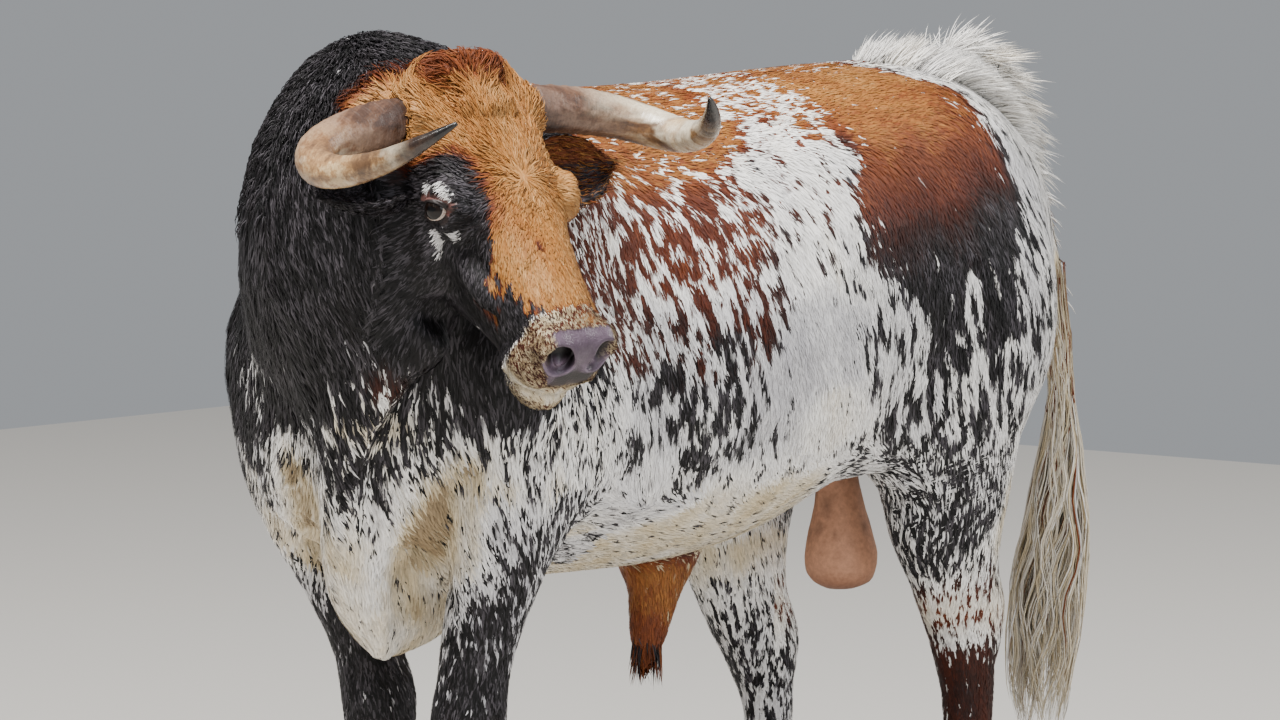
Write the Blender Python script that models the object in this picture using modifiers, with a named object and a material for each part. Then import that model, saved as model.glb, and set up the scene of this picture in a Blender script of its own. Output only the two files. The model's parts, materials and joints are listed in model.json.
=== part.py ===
# A life-size standing bull, head turned to its left, as a museum model.
# Metres, +Z up. The bull faces -Y, its left side is +X, and its feet stand on z = 0.
# Every mass of flesh is a loft or an ellipsoid. They are fused into one body,
# which thin cuts then part into head, neck, torso and legs.

import math
import random
from typing import NamedTuple

import bmesh
import bpy
import numpy as np
from mathutils import Matrix, Vector
from mathutils.bvhtree import BVHTree

GAP = 0.0004  # clearance between touching pieces
CORONET = 0.070  # height where each leg's flesh ends and its hooves begin
RING_POINTS = 40  # points round a lofted section
CORE_VOXEL = 0.014  # grain of the trunk and neck while they are melted together
CORE_SMOOTHING = 34
CORE_SWELL = 0.0085  # gives back what that smoothing takes off
FLESH_VOXEL = 0.0075  # grain of the fused body
TRUNK_SMOOTHING = 30  # passes that melt one muscle of the trunk into the next
FLESH_SMOOTHING = 5  # passes over the whole body

# The head hangs from the poll, turned left and pitched down.
POLL = Vector((0.280, -0.885, 1.456))
HEAD_TURN = math.radians(77)
HEAD_PITCH = math.radians(50)
HEAD_TILT = math.radians(2.5)  # its right side is carried a little lower

FLESH_TRIANGLES = 7850  # of the whole fused body, before it is parted
TRUNK_THINNING = 0.75  # how readily each region is thinned, from 0 to 1
LEG_THINNING = 0.70
FACE_THINNING = 0.50
THINNING_CONTRAST = 4.0

# Linear colour and roughness of each piece, by the first word of its name.
FINISHES = {
    "head": ((0.075, 0.045, 0.032, 1.0), 0.75),
    "neck": ((0.022, 0.019, 0.024, 1.0), 0.75),
    "torso": ((0.42, 0.33, 0.27, 1.0), 0.75),
    "foreleg": ((0.22, 0.20, 0.19, 1.0), 0.75),
    "hindleg": ((0.30, 0.27, 0.25, 1.0), 0.75),
    "ear": ((0.14, 0.065, 0.035, 1.0), 0.75),
    "eye": ((0.012, 0.009, 0.010, 1.0), 0.12),
    "horn": ((0.44, 0.35, 0.30, 1.0), 0.45),
    "hoof": ((0.045, 0.038, 0.035, 1.0), 0.55),
    "scrotum": ((0.42, 0.20, 0.14, 1.0), 0.60),
    "sheath": ((0.36, 0.20, 0.12, 1.0), 0.70),
    "tail": ((0.40, 0.32, 0.24, 1.0), 0.75),
}


class Section(NamedTuple):
    """An upright section across the torso."""

    at: float  # place along Y
    top: float
    bottom: float
    widest: float  # height of the widest place
    half_width: float
    crown: float  # over 1 is a peaked top, under 1 a flat one
    keel: float  # the same for the underside


class NeckSection(NamedTuple):
    """An upright section across the neck, facing along its heading."""

    x: float
    y: float
    heading: float  # degrees turned from -Y to the left
    top: float
    bottom: float
    widest: float
    half_width: float
    crown: float


class LegSection(NamedTuple):
    """A level section through a leg of the left side, standing square."""

    height: float
    across: float  # distance of its middle from the midline
    half_width: float
    front: float
    back: float


class HeadSection(NamedTuple):
    """A section across the face. u runs from poll to muzzle, w out of the forehead."""

    u: float
    top: float
    bottom: float
    widest: float
    half_width: float
    crown: float
    keel: float


TORSO = (
    Section(0.800, 1.220, 1.04, 1.12, 0.070, 1.00, 1.00),
    Section(0.765, 1.290, 0.95, 1.11, 0.150, 1.00, 1.00),
    Section(0.680, 1.350, 0.88, 1.10, 0.220, 1.08, 1.00),
    Section(0.560, 1.392, 0.83, 1.08, 0.265, 1.08, 1.00),
    Section(0.400, 1.408, 0.79, 1.05, 0.290, 0.98, 1.00),
    Section(0.220, 1.398, 0.725, 1.01, 0.310, 0.90, 1.00),
    Section(0.050, 1.390, 0.655, 0.98, 0.340, 0.92, 0.98),
    Section(-0.150, 1.383, 0.625, 0.96, 0.358, 0.98, 0.98),
    Section(-0.320, 1.388, 0.622, 0.96, 0.343, 1.08, 1.00),
    Section(-0.480, 1.405, 0.625, 0.99, 0.302, 1.22, 1.02),
    Section(-0.620, 1.395, 0.635, 1.00, 0.268, 1.22, 1.08),
    Section(-0.750, 1.300, 0.670, 0.98, 0.225, 1.10, 1.10),
    Section(-0.835, 1.150, 0.730, 0.94, 0.150, 1.00, 1.00),
)

NECK = (
    NeckSection(0.000, -0.40, 0, 1.395, 0.76, 1.03, 0.210, 1.25),
    NeckSection(-0.002, -0.55, 0, 1.442, 0.76, 1.07, 0.240, 1.25),
    NeckSection(0.004, -0.69, 14, 1.488, 0.81, 1.10, 0.245, 1.18),
    NeckSection(0.030, -0.813, 36, 1.504, 0.88, 1.14, 0.208, 1.12),
    NeckSection(0.104, -0.895, 58, 1.490, 0.95, 1.18, 0.170, 1.08),
    NeckSection(0.191, -0.925, 72, 1.452, 1.01, 1.21, 0.130, 1.05),
    NeckSection(0.255, -0.920, 78, 1.400, 1.08, 1.24, 0.098, 1.00),
    NeckSection(0.300, -0.910, 80, 1.330, 1.14, 1.24, 0.055, 1.00),
)

FORELEG = (
    LegSection(1.020, 0.205, 0.095, -0.780, -0.52),
    LegSection(0.920, 0.224, 0.106, -0.810, -0.51),
    LegSection(0.820, 0.230, 0.102, -0.810, -0.53),
    LegSection(0.730, 0.223, 0.088, -0.792, -0.57),
    LegSection(0.650, 0.212, 0.070, -0.775, -0.605),
    LegSection(0.570, 0.198, 0.062, -0.766, -0.632),
    LegSection(0.490, 0.186, 0.057, -0.762, -0.650),
    LegSection(0.425, 0.178, 0.062, -0.768, -0.648),
    LegSection(0.370, 0.175, 0.055, -0.760, -0.654),
    LegSection(0.310, 0.173, 0.042, -0.742, -0.658),
    LegSection(0.230, 0.171, 0.037, -0.738, -0.658),
    LegSection(0.170, 0.170, 0.045, -0.746, -0.648),
    LegSection(0.130, 0.170, 0.047, -0.755, -0.650),
    LegSection(0.095, 0.170, 0.045, -0.772, -0.678),
    LegSection(0.060, 0.170, 0.056, -0.792, -0.680),
)

HINDLEG = (
    LegSection(1.200, 0.150, 0.110, 0.340, 0.660),
    LegSection(1.080, 0.165, 0.120, 0.290, 0.720),
    LegSection(0.980, 0.186, 0.125, 0.255, 0.662),
    LegSection(0.880, 0.198, 0.115, 0.222, 0.635),
    LegSection(0.790, 0.202, 0.105, 0.218, 0.590),
    LegSection(0.700, 0.198, 0.090, 0.300, 0.578),
    LegSection(0.630, 0.193, 0.076, 0.318, 0.563),
    LegSection(0.560, 0.187, 0.063, 0.370, 0.563),
    LegSection(0.505, 0.182, 0.060, 0.405, 0.590),
    LegSection(0.450, 0.178, 0.057, 0.440, 0.588),
    LegSection(0.400, 0.176, 0.049, 0.462, 0.572),
    LegSection(0.335, 0.174, 0.041, 0.482, 0.574),
    LegSection(0.240, 0.172, 0.038, 0.480, 0.568),
    LegSection(0.170, 0.172, 0.045, 0.468, 0.572),
    LegSection(0.130, 0.172, 0.047, 0.455, 0.565),
    LegSection(0.095, 0.172, 0.045, 0.438, 0.540),
    LegSection(0.060, 0.172, 0.056, 0.420, 0.538),
)

HEAD = (
    HeadSection(-0.030, -0.030, -0.150, -0.085, 0.080, 1.0, 1.0),
    HeadSection(0.000, -0.006, -0.200, -0.085, 0.106, 0.92, 1.0),
    HeadSection(0.045, 0.010, -0.240, -0.078, 0.120, 0.82, 1.1),
    HeadSection(0.105, 0.014, -0.268, -0.072, 0.119, 0.78, 1.2),
    HeadSection(0.170, 0.010, -0.280, -0.072, 0.114, 0.76, 1.3),
    HeadSection(0.235, 0.005, -0.266, -0.080, 0.102, 0.78, 1.3),
    HeadSection(0.305, 0.002, -0.232, -0.086, 0.084, 0.82, 1.2),
    HeadSection(0.370, 0.000, -0.202, -0.084, 0.070, 0.88, 1.1),
    HeadSection(0.425, -0.005, -0.184, -0.080, 0.067, 0.92, 1.0),
    HeadSection(0.470, -0.016, -0.176, -0.078, 0.069, 0.95, 1.0),
    HeadSection(0.500, -0.030, -0.154, -0.080, 0.061, 1.0, 1.0),
    HeadSection(0.516, -0.048, -0.124, -0.084, 0.039, 1.0, 1.0),
)


class Stance(NamedTuple):
    """Where one foot stands, as an offset from a square leg."""

    stride: float  # along Y at the foot
    inward: float  # towards the midline at the foot
    hip_height: float  # above this height the leg isn't moved
    joint_height: float  # below this height the offset is whole
    drop: float  # how much lower the middle joint is carried


STANCES = {
    "foreleg_left": Stance(-0.020, 0.020, 0.95, 0.50, 0.0),
    "foreleg_right": Stance(0.085, 0.055, 0.82, 0.42, 0.0),
    "hindleg_left": Stance(0.000, 0.000, 1.10, 0.50, 0.0),
    "hindleg_right": Stance(-0.110, 0.005, 1.15, 0.50, 0.055),
}


def smooth_step(value, low, high):
    share = min(1.0, max(0.0, (value - low) / (high - low)))
    return share * share * (3 - 2 * share)


def spline_rows(rows, count):
    """Rows of a table, filled in to count rows by a cubic through each column."""
    table = np.array(rows, float)
    known = np.arange(len(table))
    slopes = np.gradient(table, axis=0)
    filled = []
    for place in np.linspace(0, len(table) - 1, count):
        i = min(int(place), len(known) - 2)
        t = place - i
        filled.append(
            (2 * t**3 - 3 * t**2 + 1) * table[i]
            + (t**3 - 2 * t**2 + t) * slopes[i]
            + (3 * t**2 - 2 * t**3) * table[i + 1]
            + (t**3 - t**2) * slopes[i + 1]
        )
    return filled


def signed_power(value, power):
    return math.copysign(abs(value) ** power, value)


def egg_ring(half_width, rise, drop, crown, keel, points=RING_POINTS):
    """A closed egg-shaped outline as (across, up) pairs about its widest place."""
    ring = []
    for i in range(points):
        angle = 2 * math.pi * i / points
        up = math.cos(angle)
        power = crown if up > 0 else keel
        ring.append((half_width * signed_power(math.sin(angle), power), up * (rise if up > 0 else drop)))
    return ring


def loft(rings):
    """A closed mesh through rings of equal length, each a list of points."""
    mesh = bmesh.new()
    loops = [[mesh.verts.new(point) for point in ring] for ring in rings]
    for first, second in zip(loops, loops[1:]):
        for i in range(len(first)):
            j = (i + 1) % len(first)
            mesh.faces.new((first[i], first[j], second[j], second[i]))
    mesh.faces.new(loops[0][::-1])
    mesh.faces.new(loops[-1])
    mesh.normal_update()
    bmesh.ops.recalc_face_normals(mesh, faces=mesh.faces)
    return mesh


def place_mesh(name, mesh, collection):
    """Turns a bmesh into an object of that collection."""
    data = bpy.data.meshes.new(name)
    mesh.to_mesh(data)
    mesh.free()
    obj = bpy.data.objects.new(name, data)
    collection.objects.link(obj)
    return obj


def ellipsoid(name, centre, radii, collection, turn=None, rows=14):
    mesh = bmesh.new()
    bmesh.ops.create_uvsphere(mesh, u_segments=2 * rows, v_segments=rows, radius=1.0)
    turn = turn or Matrix.Identity(4)
    place = Matrix.Translation(centre) @ turn @ Matrix.Diagonal((*radii, 1.0))
    bmesh.ops.transform(mesh, matrix=place, verts=mesh.verts)
    return place_mesh(name, mesh, collection)


def head_frame():
    """The matrix from head places (u down the face, v to its left, w out of the forehead) to the world."""
    heading, left, up = poll_axes()
    down_face = heading * math.cos(HEAD_PITCH) - up * math.sin(HEAD_PITCH)
    out = heading * math.sin(HEAD_PITCH) + up * math.cos(HEAD_PITCH)
    axes = Matrix((down_face, left, out)).transposed()
    return Matrix.Translation(POLL) @ axes.to_4x4()


def poll_axes():
    """The head's forward, left and up, before it is pitched."""
    heading = Vector((math.sin(HEAD_TURN), -math.cos(HEAD_TURN), 0))
    level = Vector((math.cos(HEAD_TURN), math.sin(HEAD_TURN), 0))
    left = level * math.cos(HEAD_TILT) + Vector((0, 0, 1)) * math.sin(HEAD_TILT)
    return heading, left, left.cross(heading).normalized() * -1


HEAD_PLACE = head_frame()


def on_head(u, v, w):
    return HEAD_PLACE @ Vector((u, v, w))


def level_at_poll(side, forward, up):
    """A place near the poll by the level axes of the head: sideways, forward and up."""
    heading, left, above = poll_axes()
    return POLL + left * side + heading * forward + above * up


def torso_masses(flesh):
    rings = []
    for row in spline_rows(TORSO, 40):
        section = Section(*row)
        outline = egg_ring(
            section.half_width,
            section.top - section.widest,
            section.widest - section.bottom,
            section.crown,
            section.keel,
        )
        rings.append([(x, section.at, section.widest + z) for x, z in outline])
    place_mesh("trunk", loft(rings), flesh)
    for side in (-1, 1):
        lean = Matrix.Rotation(side * math.radians(9), 4, "Y") @ Matrix.Rotation(math.radians(20), 4, "X")
        ellipsoid("shoulder_blade", (side * 0.205, -0.570, 1.12), (0.078, 0.130, 0.260), flesh, lean)
        ellipsoid("neck_root", (side * 0.140, -0.640, 1.17), (0.120, 0.165, 0.200), flesh, lean)
        ellipsoid("triceps", (side * 0.250, -0.560, 0.92), (0.090, 0.165, 0.170), flesh)
        ellipsoid("shoulder_point", (side * 0.228, -0.715, 0.965), (0.108, 0.115, 0.195), flesh)
        ellipsoid("breast_muscle", (side * 0.110, -0.760, 0.860), (0.118, 0.110, 0.185), flesh)
        ellipsoid("rump_muscle", (side * 0.120, 0.450, 1.215), (0.135, 0.220, 0.160), flesh)
        ellipsoid("outer_thigh", (side * 0.190, 0.470, 1.000), (0.132, 0.210, 0.265), flesh)
        ellipsoid("back_thigh", (side * 0.120, 0.655, 1.020), (0.097, 0.112, 0.195), flesh)
    ellipsoid("stretched_neck", (-0.135, -0.705, 1.200), (0.125, 0.170, 0.240), flesh)


def bony_points(flesh):
    """The points of bone and the folds that stand out of the smooth trunk."""
    for side in (-1, 1):
        ellipsoid("hook_bone", (side * 0.205, 0.235, 1.255), (0.066, 0.115, 0.070), flesh)
        ellipsoid("pin_bone", (side * 0.090, 0.672, 1.190), (0.052, 0.062, 0.065), flesh)
        ellipsoid("flank_fold", (side * 0.200, 0.200, 0.850), (0.070, 0.100, 0.120), flesh)
        ellipsoid("elbow", (side * 0.262, -0.470, 0.800), (0.052, 0.085, 0.085), flesh)
    ellipsoid("tail_head", (0, 0.600, 1.350), (0.060, 0.130, 0.045), flesh)


def neck_masses(flesh):
    rings = []
    for row in spline_rows(NECK, 32):
        section = NeckSection(*row)
        turn = math.radians(section.heading)
        outline = egg_ring(
            section.half_width,
            section.top - section.widest,
            section.widest - section.bottom,
            section.crown,
            1.0,
        )
        rings.append(
            [
                (section.x + s * math.cos(turn), section.y + s * math.sin(turn), section.widest + z)
                for s, z in outline
            ]
        )
    place_mesh("neck_core", loft(rings), flesh)


# The dewlap hangs from the throat to the brisket: middle, half thickness, half depth.
DEWLAP = (
    ((0.000, -0.640, 0.640), 0.085, 0.090),
    ((0.000, -0.715, 0.610), 0.070, 0.095),
    ((0.002, -0.775, 0.640), 0.055, 0.095),
    ((0.010, -0.835, 0.720), 0.045, 0.090),
    ((0.035, -0.880, 0.820), 0.042, 0.085),
    ((0.085, -0.925, 0.920), 0.040, 0.080),
    ((0.165, -0.940, 1.010), 0.038, 0.075),
    ((0.250, -0.930, 1.080), 0.036, 0.070),
)


def dewlap_mass(flesh):
    rows = spline_rows([(*middle, thick, deep) for middle, thick, deep in DEWLAP], 24)
    middles = [Vector(row[:3]) for row in rows]
    rings = []
    for i, row in enumerate(rows):
        along = middles[min(i + 1, len(rows) - 1)] - middles[max(i - 1, 0)]
        along.normalize()
        across = along.cross(Vector((0, 0, 1)))
        across = across.normalized() if across.length > 0.2 else Vector((1, 0, 0))
        deep = across.cross(along).normalized()
        rings.append(
            [
                middles[i] + across * row[3] * math.sin(a) + deep * row[4] * math.cos(a)
                for a in (2 * math.pi * k / 24 for k in range(24))
            ]
        )
    place_mesh("dewlap", loft(rings), flesh)


def brisket_mass(flesh):
    ellipsoid("brisket", (0.0, -0.735, 0.655), (0.062, 0.110, 0.145), flesh)
    ellipsoid("breast_floor", (0.0, -0.660, 0.720), (0.140, 0.160, 0.130), flesh)


def leg_place(section, side, stance):
    """Moves a square leg's section to where that leg stands: (x, y, z) and its half length."""
    share = smooth_step(stance.hip_height - section.height, 0, stance.hip_height - stance.joint_height)
    x = side * (section.across - stance.inward * share)
    y = (section.front + section.back) / 2 + stance.stride * share
    near_joint = math.exp(-(((section.height - stance.joint_height) / 0.17) ** 2))
    return x, y, section.height - stance.drop * near_joint


def leg_mass(name, sections, side, flesh):
    stance = STANCES[name]
    rings = []
    for row in spline_rows(sections, 44):
        section = LegSection(*row)
        x, y, z = leg_place(section, side, stance)
        half_length = (section.back - section.front) / 2
        rings.append(
            [
                (x + section.half_width * math.sin(a), y + half_length * math.cos(a), z)
                for a in (2 * math.pi * k / 28 for k in range(28))
            ]
        )
    place_mesh(name, loft(rings), flesh)
    dewclaw = LegSection(*sections[-3])
    x, y, z = leg_place(dewclaw, side, stance)
    for across in (-1, 1):
        centre = (x + across * 0.024, y + (dewclaw.back - dewclaw.front) / 2 + 0.004, z + 0.006)
        ellipsoid("dewclaw", centre, (0.015, 0.018, 0.026), flesh)


def head_masses(flesh):
    rings = []
    for row in spline_rows(HEAD, 36):
        section = HeadSection(*row)
        outline = egg_ring(
            section.half_width,
            section.top - section.widest,
            section.widest - section.bottom,
            section.crown,
            section.keel,
        )
        rings.append([on_head(section.u, v, section.widest + w) for v, w in outline])
    place_mesh("skull", loft(rings), flesh)
    turn = HEAD_PLACE.to_3x3().to_4x4()
    for side in (-1, 1):
        ellipsoid("orbit", on_head(0.217, side * 0.100, -0.050), (0.047, 0.036, 0.040), flesh, turn)
        ellipsoid("cheekbone", on_head(0.290, side * 0.080, -0.098), (0.095, 0.022, 0.022), flesh, turn)
        ellipsoid("jaw_muscle", on_head(0.175, side * 0.076, -0.178), (0.105, 0.042, 0.092), flesh, turn)
        ellipsoid("nostril_wing", on_head(0.484, side * 0.043, -0.052), (0.031, 0.031, 0.034), flesh, turn)
        ellipsoid("upper_lip", on_head(0.468, side * 0.042, -0.112), (0.050, 0.037, 0.031), flesh, turn)
        ellipsoid("horn_boss", on_head(0.062, side * 0.098, -0.043), (0.052, 0.046, 0.050), flesh, turn)
    ellipsoid("poll_crest", on_head(0.012, 0, -0.012), (0.050, 0.100, 0.034), flesh, turn)
    ellipsoid("nose_pad", on_head(0.489, 0, -0.060), (0.029, 0.052, 0.040), flesh, turn)
    ellipsoid("chin", on_head(0.464, 0, -0.175), (0.056, 0.048, 0.028), flesh, turn)


def evaluated_copy(obj, name, collection):
    """A mesh object with obj's modifiers and place applied, and obj removed."""
    bpy.context.view_layer.update()
    graph = bpy.context.evaluated_depsgraph_get()
    data = bpy.data.meshes.new_from_object(obj.evaluated_get(graph))
    data.transform(obj.matrix_world)
    bpy.data.objects.remove(obj)
    made = bpy.data.objects.new(name, data)
    collection.objects.link(made)
    return made


def face_share(place):
    """1 on the head, falling to 0 behind the nape."""
    u, v, w = HEAD_PLACE.inverted() @ Vector(place)
    if abs(v) > 0.17 or w < -0.31:
        return 0.0
    return smooth_step(u + 0.35 * (w + 0.1), -0.09, 0.01)


def fuse(name, flesh, voxel, collection):
    """One closed skin of even grain over the overlapping masses of a collection."""
    joined = bmesh.new()
    for mass in list(flesh.objects):
        joined.from_mesh(mass.data)
        bpy.data.objects.remove(mass)
    whole = place_mesh("masses", joined, collection)
    remesh = whole.modifiers.new("fuse", "REMESH")
    remesh.mode = "VOXEL"
    remesh.voxel_size = voxel
    return evaluated_copy(whole, name, collection)


def smooth_out(obj, passes, group=""):
    smooth = obj.modifiers.new("smooth", "SMOOTH")
    smooth.factor = 0.5
    smooth.iterations = passes
    smooth.vertex_group = group


def melt_core(flesh):
    """Melts the trunk and neck into one broad form."""
    core = fuse("core", flesh, CORE_VOXEL, flesh)
    smooth_out(core, CORE_SMOOTHING)
    swell = core.modifiers.new("swell", "DISPLACE")
    swell.mid_level = 0.0
    swell.strength = CORE_SWELL
    evaluated_copy(core, "core", flesh)


def fuse_flesh(name, flesh, collection):
    """Fuses all the masses of flesh, smoothing the trunk more than legs and face."""
    whole = fuse(name, flesh, FLESH_VOXEL, collection)
    trunk = whole.vertex_groups.new(name="trunk")
    for vert in whole.data.vertices:
        share = smooth_step(vert.co.z, 0.55, 0.72) * (1 - face_share(vert.co))
        trunk.add([vert.index], max(0.02, share), "REPLACE")
    smooth_out(whole, TRUNK_SMOOTHING, trunk.name)
    smooth_out(whole, FLESH_SMOOTHING)
    return evaluated_copy(whole, name, collection)


def box_cutter(name, low, high, place, collection):
    """A box between two corners, in the axes of a matrix."""
    mesh = bmesh.new()
    bmesh.ops.create_cube(mesh, size=1.0)
    low, high = Vector(low), Vector(high)
    size = high - low
    local = Matrix.Translation((low + high) / 2) @ Matrix.Diagonal((*size, 1.0))
    bmesh.ops.transform(mesh, matrix=place @ local, verts=mesh.verts)
    return helper(place_mesh(name, mesh, collection))


def boolean(obj, other, operation, collection, solver="MANIFOLD"):
    """Applies one Boolean with an object or with a collection of closed meshes."""
    cut = obj.modifiers.new("cut", "BOOLEAN")
    cut.operation = operation
    cut.solver = solver
    if isinstance(other, bpy.types.Collection):
        cut.operand_type = "COLLECTION"
        cut.collection = other
    else:
        cut.object = other
    return evaluated_copy(obj, obj.name, collection)


def keep_largest(obj):
    """Keeps only the largest closed surface of a mesh."""
    mesh = bmesh.new()
    mesh.from_mesh(obj.data)
    mesh.verts.ensure_lookup_table()
    seen, islands = set(), []
    for start in mesh.verts:
        if start.index in seen:
            continue
        seen.add(start.index)
        stack, island = [start], []
        while stack:
            vert = stack.pop()
            island.append(vert)
            for edge in vert.link_edges:
                other = edge.other_vert(vert)
                if other.index not in seen:
                    seen.add(other.index)
                    stack.append(other)
        islands.append(island)

    def size(island):
        points = np.array([vert.co for vert in island])
        return np.prod(np.ptp(points, axis=0) + 1e-6)

    islands.sort(key=size, reverse=True)
    for island in islands[1:]:
        for vert in island:
            mesh.verts.remove(vert)
    mesh.to_mesh(obj.data)
    mesh.free()
    return obj


def thin_out(obj, triangles, collection):
    """Collapses the fused body to about that many triangles, least on the head."""
    mesh = bmesh.new()
    mesh.from_mesh(obj.data)
    bmesh.ops.triangulate(mesh, faces=mesh.faces)
    mesh.to_mesh(obj.data)
    count = len(mesh.faces)
    mesh.free()
    coarse = obj.vertex_groups.new(name="coarse")
    for vert in obj.data.vertices:
        on_face = face_share(vert.co)
        on_leg = smooth_step(0.75 - vert.co.z, 0, 0.25)
        share = TRUNK_THINNING + (LEG_THINNING - TRUNK_THINNING) * on_leg
        coarse.add([vert.index], share + (FACE_THINNING - share) * on_face, "REPLACE")
    collapse = obj.modifiers.new("thin", "DECIMATE")
    collapse.ratio = triangles / count
    collapse.vertex_group = coarse.name
    collapse.vertex_group_factor = THINNING_CONTRAST
    return evaluated_copy(obj, obj.name, collection)


def copy_of(obj, name, collection):
    made = bpy.data.objects.new(name, obj.data.copy())
    collection.objects.link(made)
    return made


def grown(obj, growth, collection):
    """A copy of a closed mesh with every face moved out, as a cutter."""
    mesh = bmesh.new()
    mesh.from_mesh(obj.data)
    mesh.normal_update()
    moves = [vert.normal * growth * min(2.0, vert.calc_shell_factor()) for vert in mesh.verts]
    for vert, move in zip(mesh.verts, moves):
        vert.co += move
    return helper(place_mesh("cut_" + obj.name, mesh, collection))


def socket(host, piece, nodes, cutters, room=GAP):
    """Cuts room into the host for a piece that is rooted in it."""
    return keep_largest(boolean(host, grown(piece, room, cutters), "DIFFERENCE", nodes))


def frame_from(point, out, side):
    """Axes at a point with X along out and Y near side."""
    x = Vector(out).normalized()
    z = x.cross(Vector(side)).normalized()
    y = z.cross(x)
    return Matrix.Translation(point) @ Matrix((x, y, z)).transposed().to_4x4()


class LegCut(NamedTuple):
    """Where a leg parts from the trunk: an upright block under a sloping plane."""

    inner: float  # distance of its inner side from the midline
    front: float
    back: float
    height: float  # of the plane at the middle of the block
    outward_rise: float  # how far the plane climbs for each metre outwards
    backward_rise: float


LEG_CUTS = {
    "foreleg_left": LegCut(0.085, -0.95, -0.44, 0.715, 0.30, -0.10),
    "foreleg_right": LegCut(0.060, -0.95, -0.42, 0.715, 0.30, -0.10),
    "hindleg_left": LegCut(0.045, 0.10, 0.90, 0.815, 0.35, 0.22),
    "hindleg_right": LegCut(0.045, 0.02, 0.80, 0.815, 0.35, 0.22),
}
LEG_REACH = 0.42  # how far a leg's block reaches from the midline


def leg_cutter(name, growth, collection):
    """The block under a leg's plane, grown by a gap all round."""
    cut = LEG_CUTS[name]
    side = 1 if name.endswith("left") else -1
    inner, outer = cut.inner - growth, LEG_REACH
    middle_x, middle_y = (cut.inner + LEG_REACH) / 2, (cut.front + cut.back) / 2
    mesh = bmesh.new()
    bmesh.ops.create_cube(mesh, size=2.0)
    for vert in mesh.verts:
        x = outer if vert.co.x > 0 else inner
        y = cut.back + growth if vert.co.y > 0 else cut.front - growth
        top = cut.height + growth + (x - middle_x) * cut.outward_rise + (y - middle_y) * cut.backward_rise
        vert.co = (side * x, y, top if vert.co.z > 0 else CORONET - growth)
    mesh.normal_update()
    bmesh.ops.recalc_face_normals(mesh, faces=mesh.faces)
    return helper(place_mesh("cut_" + name, mesh, collection))


# The outline that parts the head from the neck, as (u, w): over the poll, the throat,
# under the chin, in front of the face.
HEAD_CUT = ((-0.2335, 0.20), (0.158, -0.30), (0.62, -0.25), (0.62, 0.20))
HEAD_CUT_HALF_WIDTH = 0.165


def head_cutter(growth, collection):
    rings = [
        [on_head(u, v, w) for u, w in HEAD_CUT] for v in (-HEAD_CUT_HALF_WIDTH, HEAD_CUT_HALF_WIDTH)
    ]
    block = helper(place_mesh("head_block", loft(rings), collection))
    return grown(block, growth, collection)


NECK_BASE = (0, -0.69, 1.115)  # a point on the plane that parts the neck from the trunk
NECK_BASE_OUT = (0, -0.89, 0.455)


def flesh_cutter(name, growth, collection):
    """The block that holds one piece of the fused body."""
    if "leg" in name:
        return leg_cutter(name, growth, collection)
    if name == "head":
        return head_cutter(growth, collection)
    axes = frame_from(Vector(NECK_BASE), Vector(NECK_BASE_OUT), Vector((1, 0, 0)))
    spread = Vector((growth, growth, growth))
    low, high = Vector((0, -0.6, -0.9)), Vector((0.9, 0.6, 0.9))
    return box_cutter("cut_" + name, low - spread, high + spread, axes, collection)


def part_flesh(whole, nodes, cutters):
    """Parts the fused body into nodes along thin cuts."""
    parts = {}
    for name in ("head", "neck", *LEG_CUTS):
        piece = copy_of(whole, name, nodes)
        parts[name] = keep_largest(boolean(piece, flesh_cutter(name, 0, cutters), "INTERSECT", nodes))
        whole = boolean(whole, flesh_cutter(name, GAP, cutters), "DIFFERENCE", nodes)
    whole.name = "torso"
    parts["torso"] = keep_largest(whole)
    return parts


def tube(name, points, radii, collection, sides=12):
    """A closed tapering tube through points, as a mesh."""
    curve = bpy.data.curves.new(name, "CURVE")
    curve.dimensions = "3D"
    curve.bevel_depth = 1.0
    curve.bevel_resolution = max(0, sides // 4 - 1)
    curve.use_fill_caps = True
    spline = curve.splines.new("POLY")
    spline.points.add(len(points) - 1)
    for knot, point, radius in zip(spline.points, points, radii):
        knot.co = (*point, 1.0)
        knot.radius = radius
    obj = bpy.data.objects.new(name, curve)
    collection.objects.link(obj)
    made = evaluated_copy(obj, name, collection)
    mesh = bmesh.new()
    mesh.from_mesh(made.data)
    bmesh.ops.remove_doubles(mesh, verts=mesh.verts, dist=0.00005)
    bmesh.ops.recalc_face_normals(mesh, faces=mesh.faces)
    mesh.to_mesh(made.data)
    mesh.free()
    return made


# Horn line beside the poll: sideways, forward, up, and the radius there.
HORN = (
    (0.090, -0.006, -0.068, 0.036),
    (0.150, 0.003, -0.070, 0.0405),
    (0.225, 0.012, -0.080, 0.0395),
    (0.295, 0.032, -0.098, 0.036),
    (0.332, 0.085, -0.118, 0.032),
    (0.330, 0.150, -0.121, 0.027),
    (0.307, 0.222, -0.104, 0.021),
    (0.272, 0.280, -0.074, 0.013),
    (0.238, 0.320, -0.046, 0.0035),
)


def horn(side, word, collection):
    rows = spline_rows(HORN, 18)
    points = [level_at_poll(side * row[0], row[1], row[2]) for row in rows]
    return tube("horn_" + word, points, [row[3] for row in rows], collection, 12)


# How far each ear's cup is rolled up from facing forward, and the height of its tip.
EAR_ROLLS = {"left": math.radians(25), "right": math.radians(62)}
EAR_TIPS = {"left": -0.166, "right": -0.172}


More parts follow.
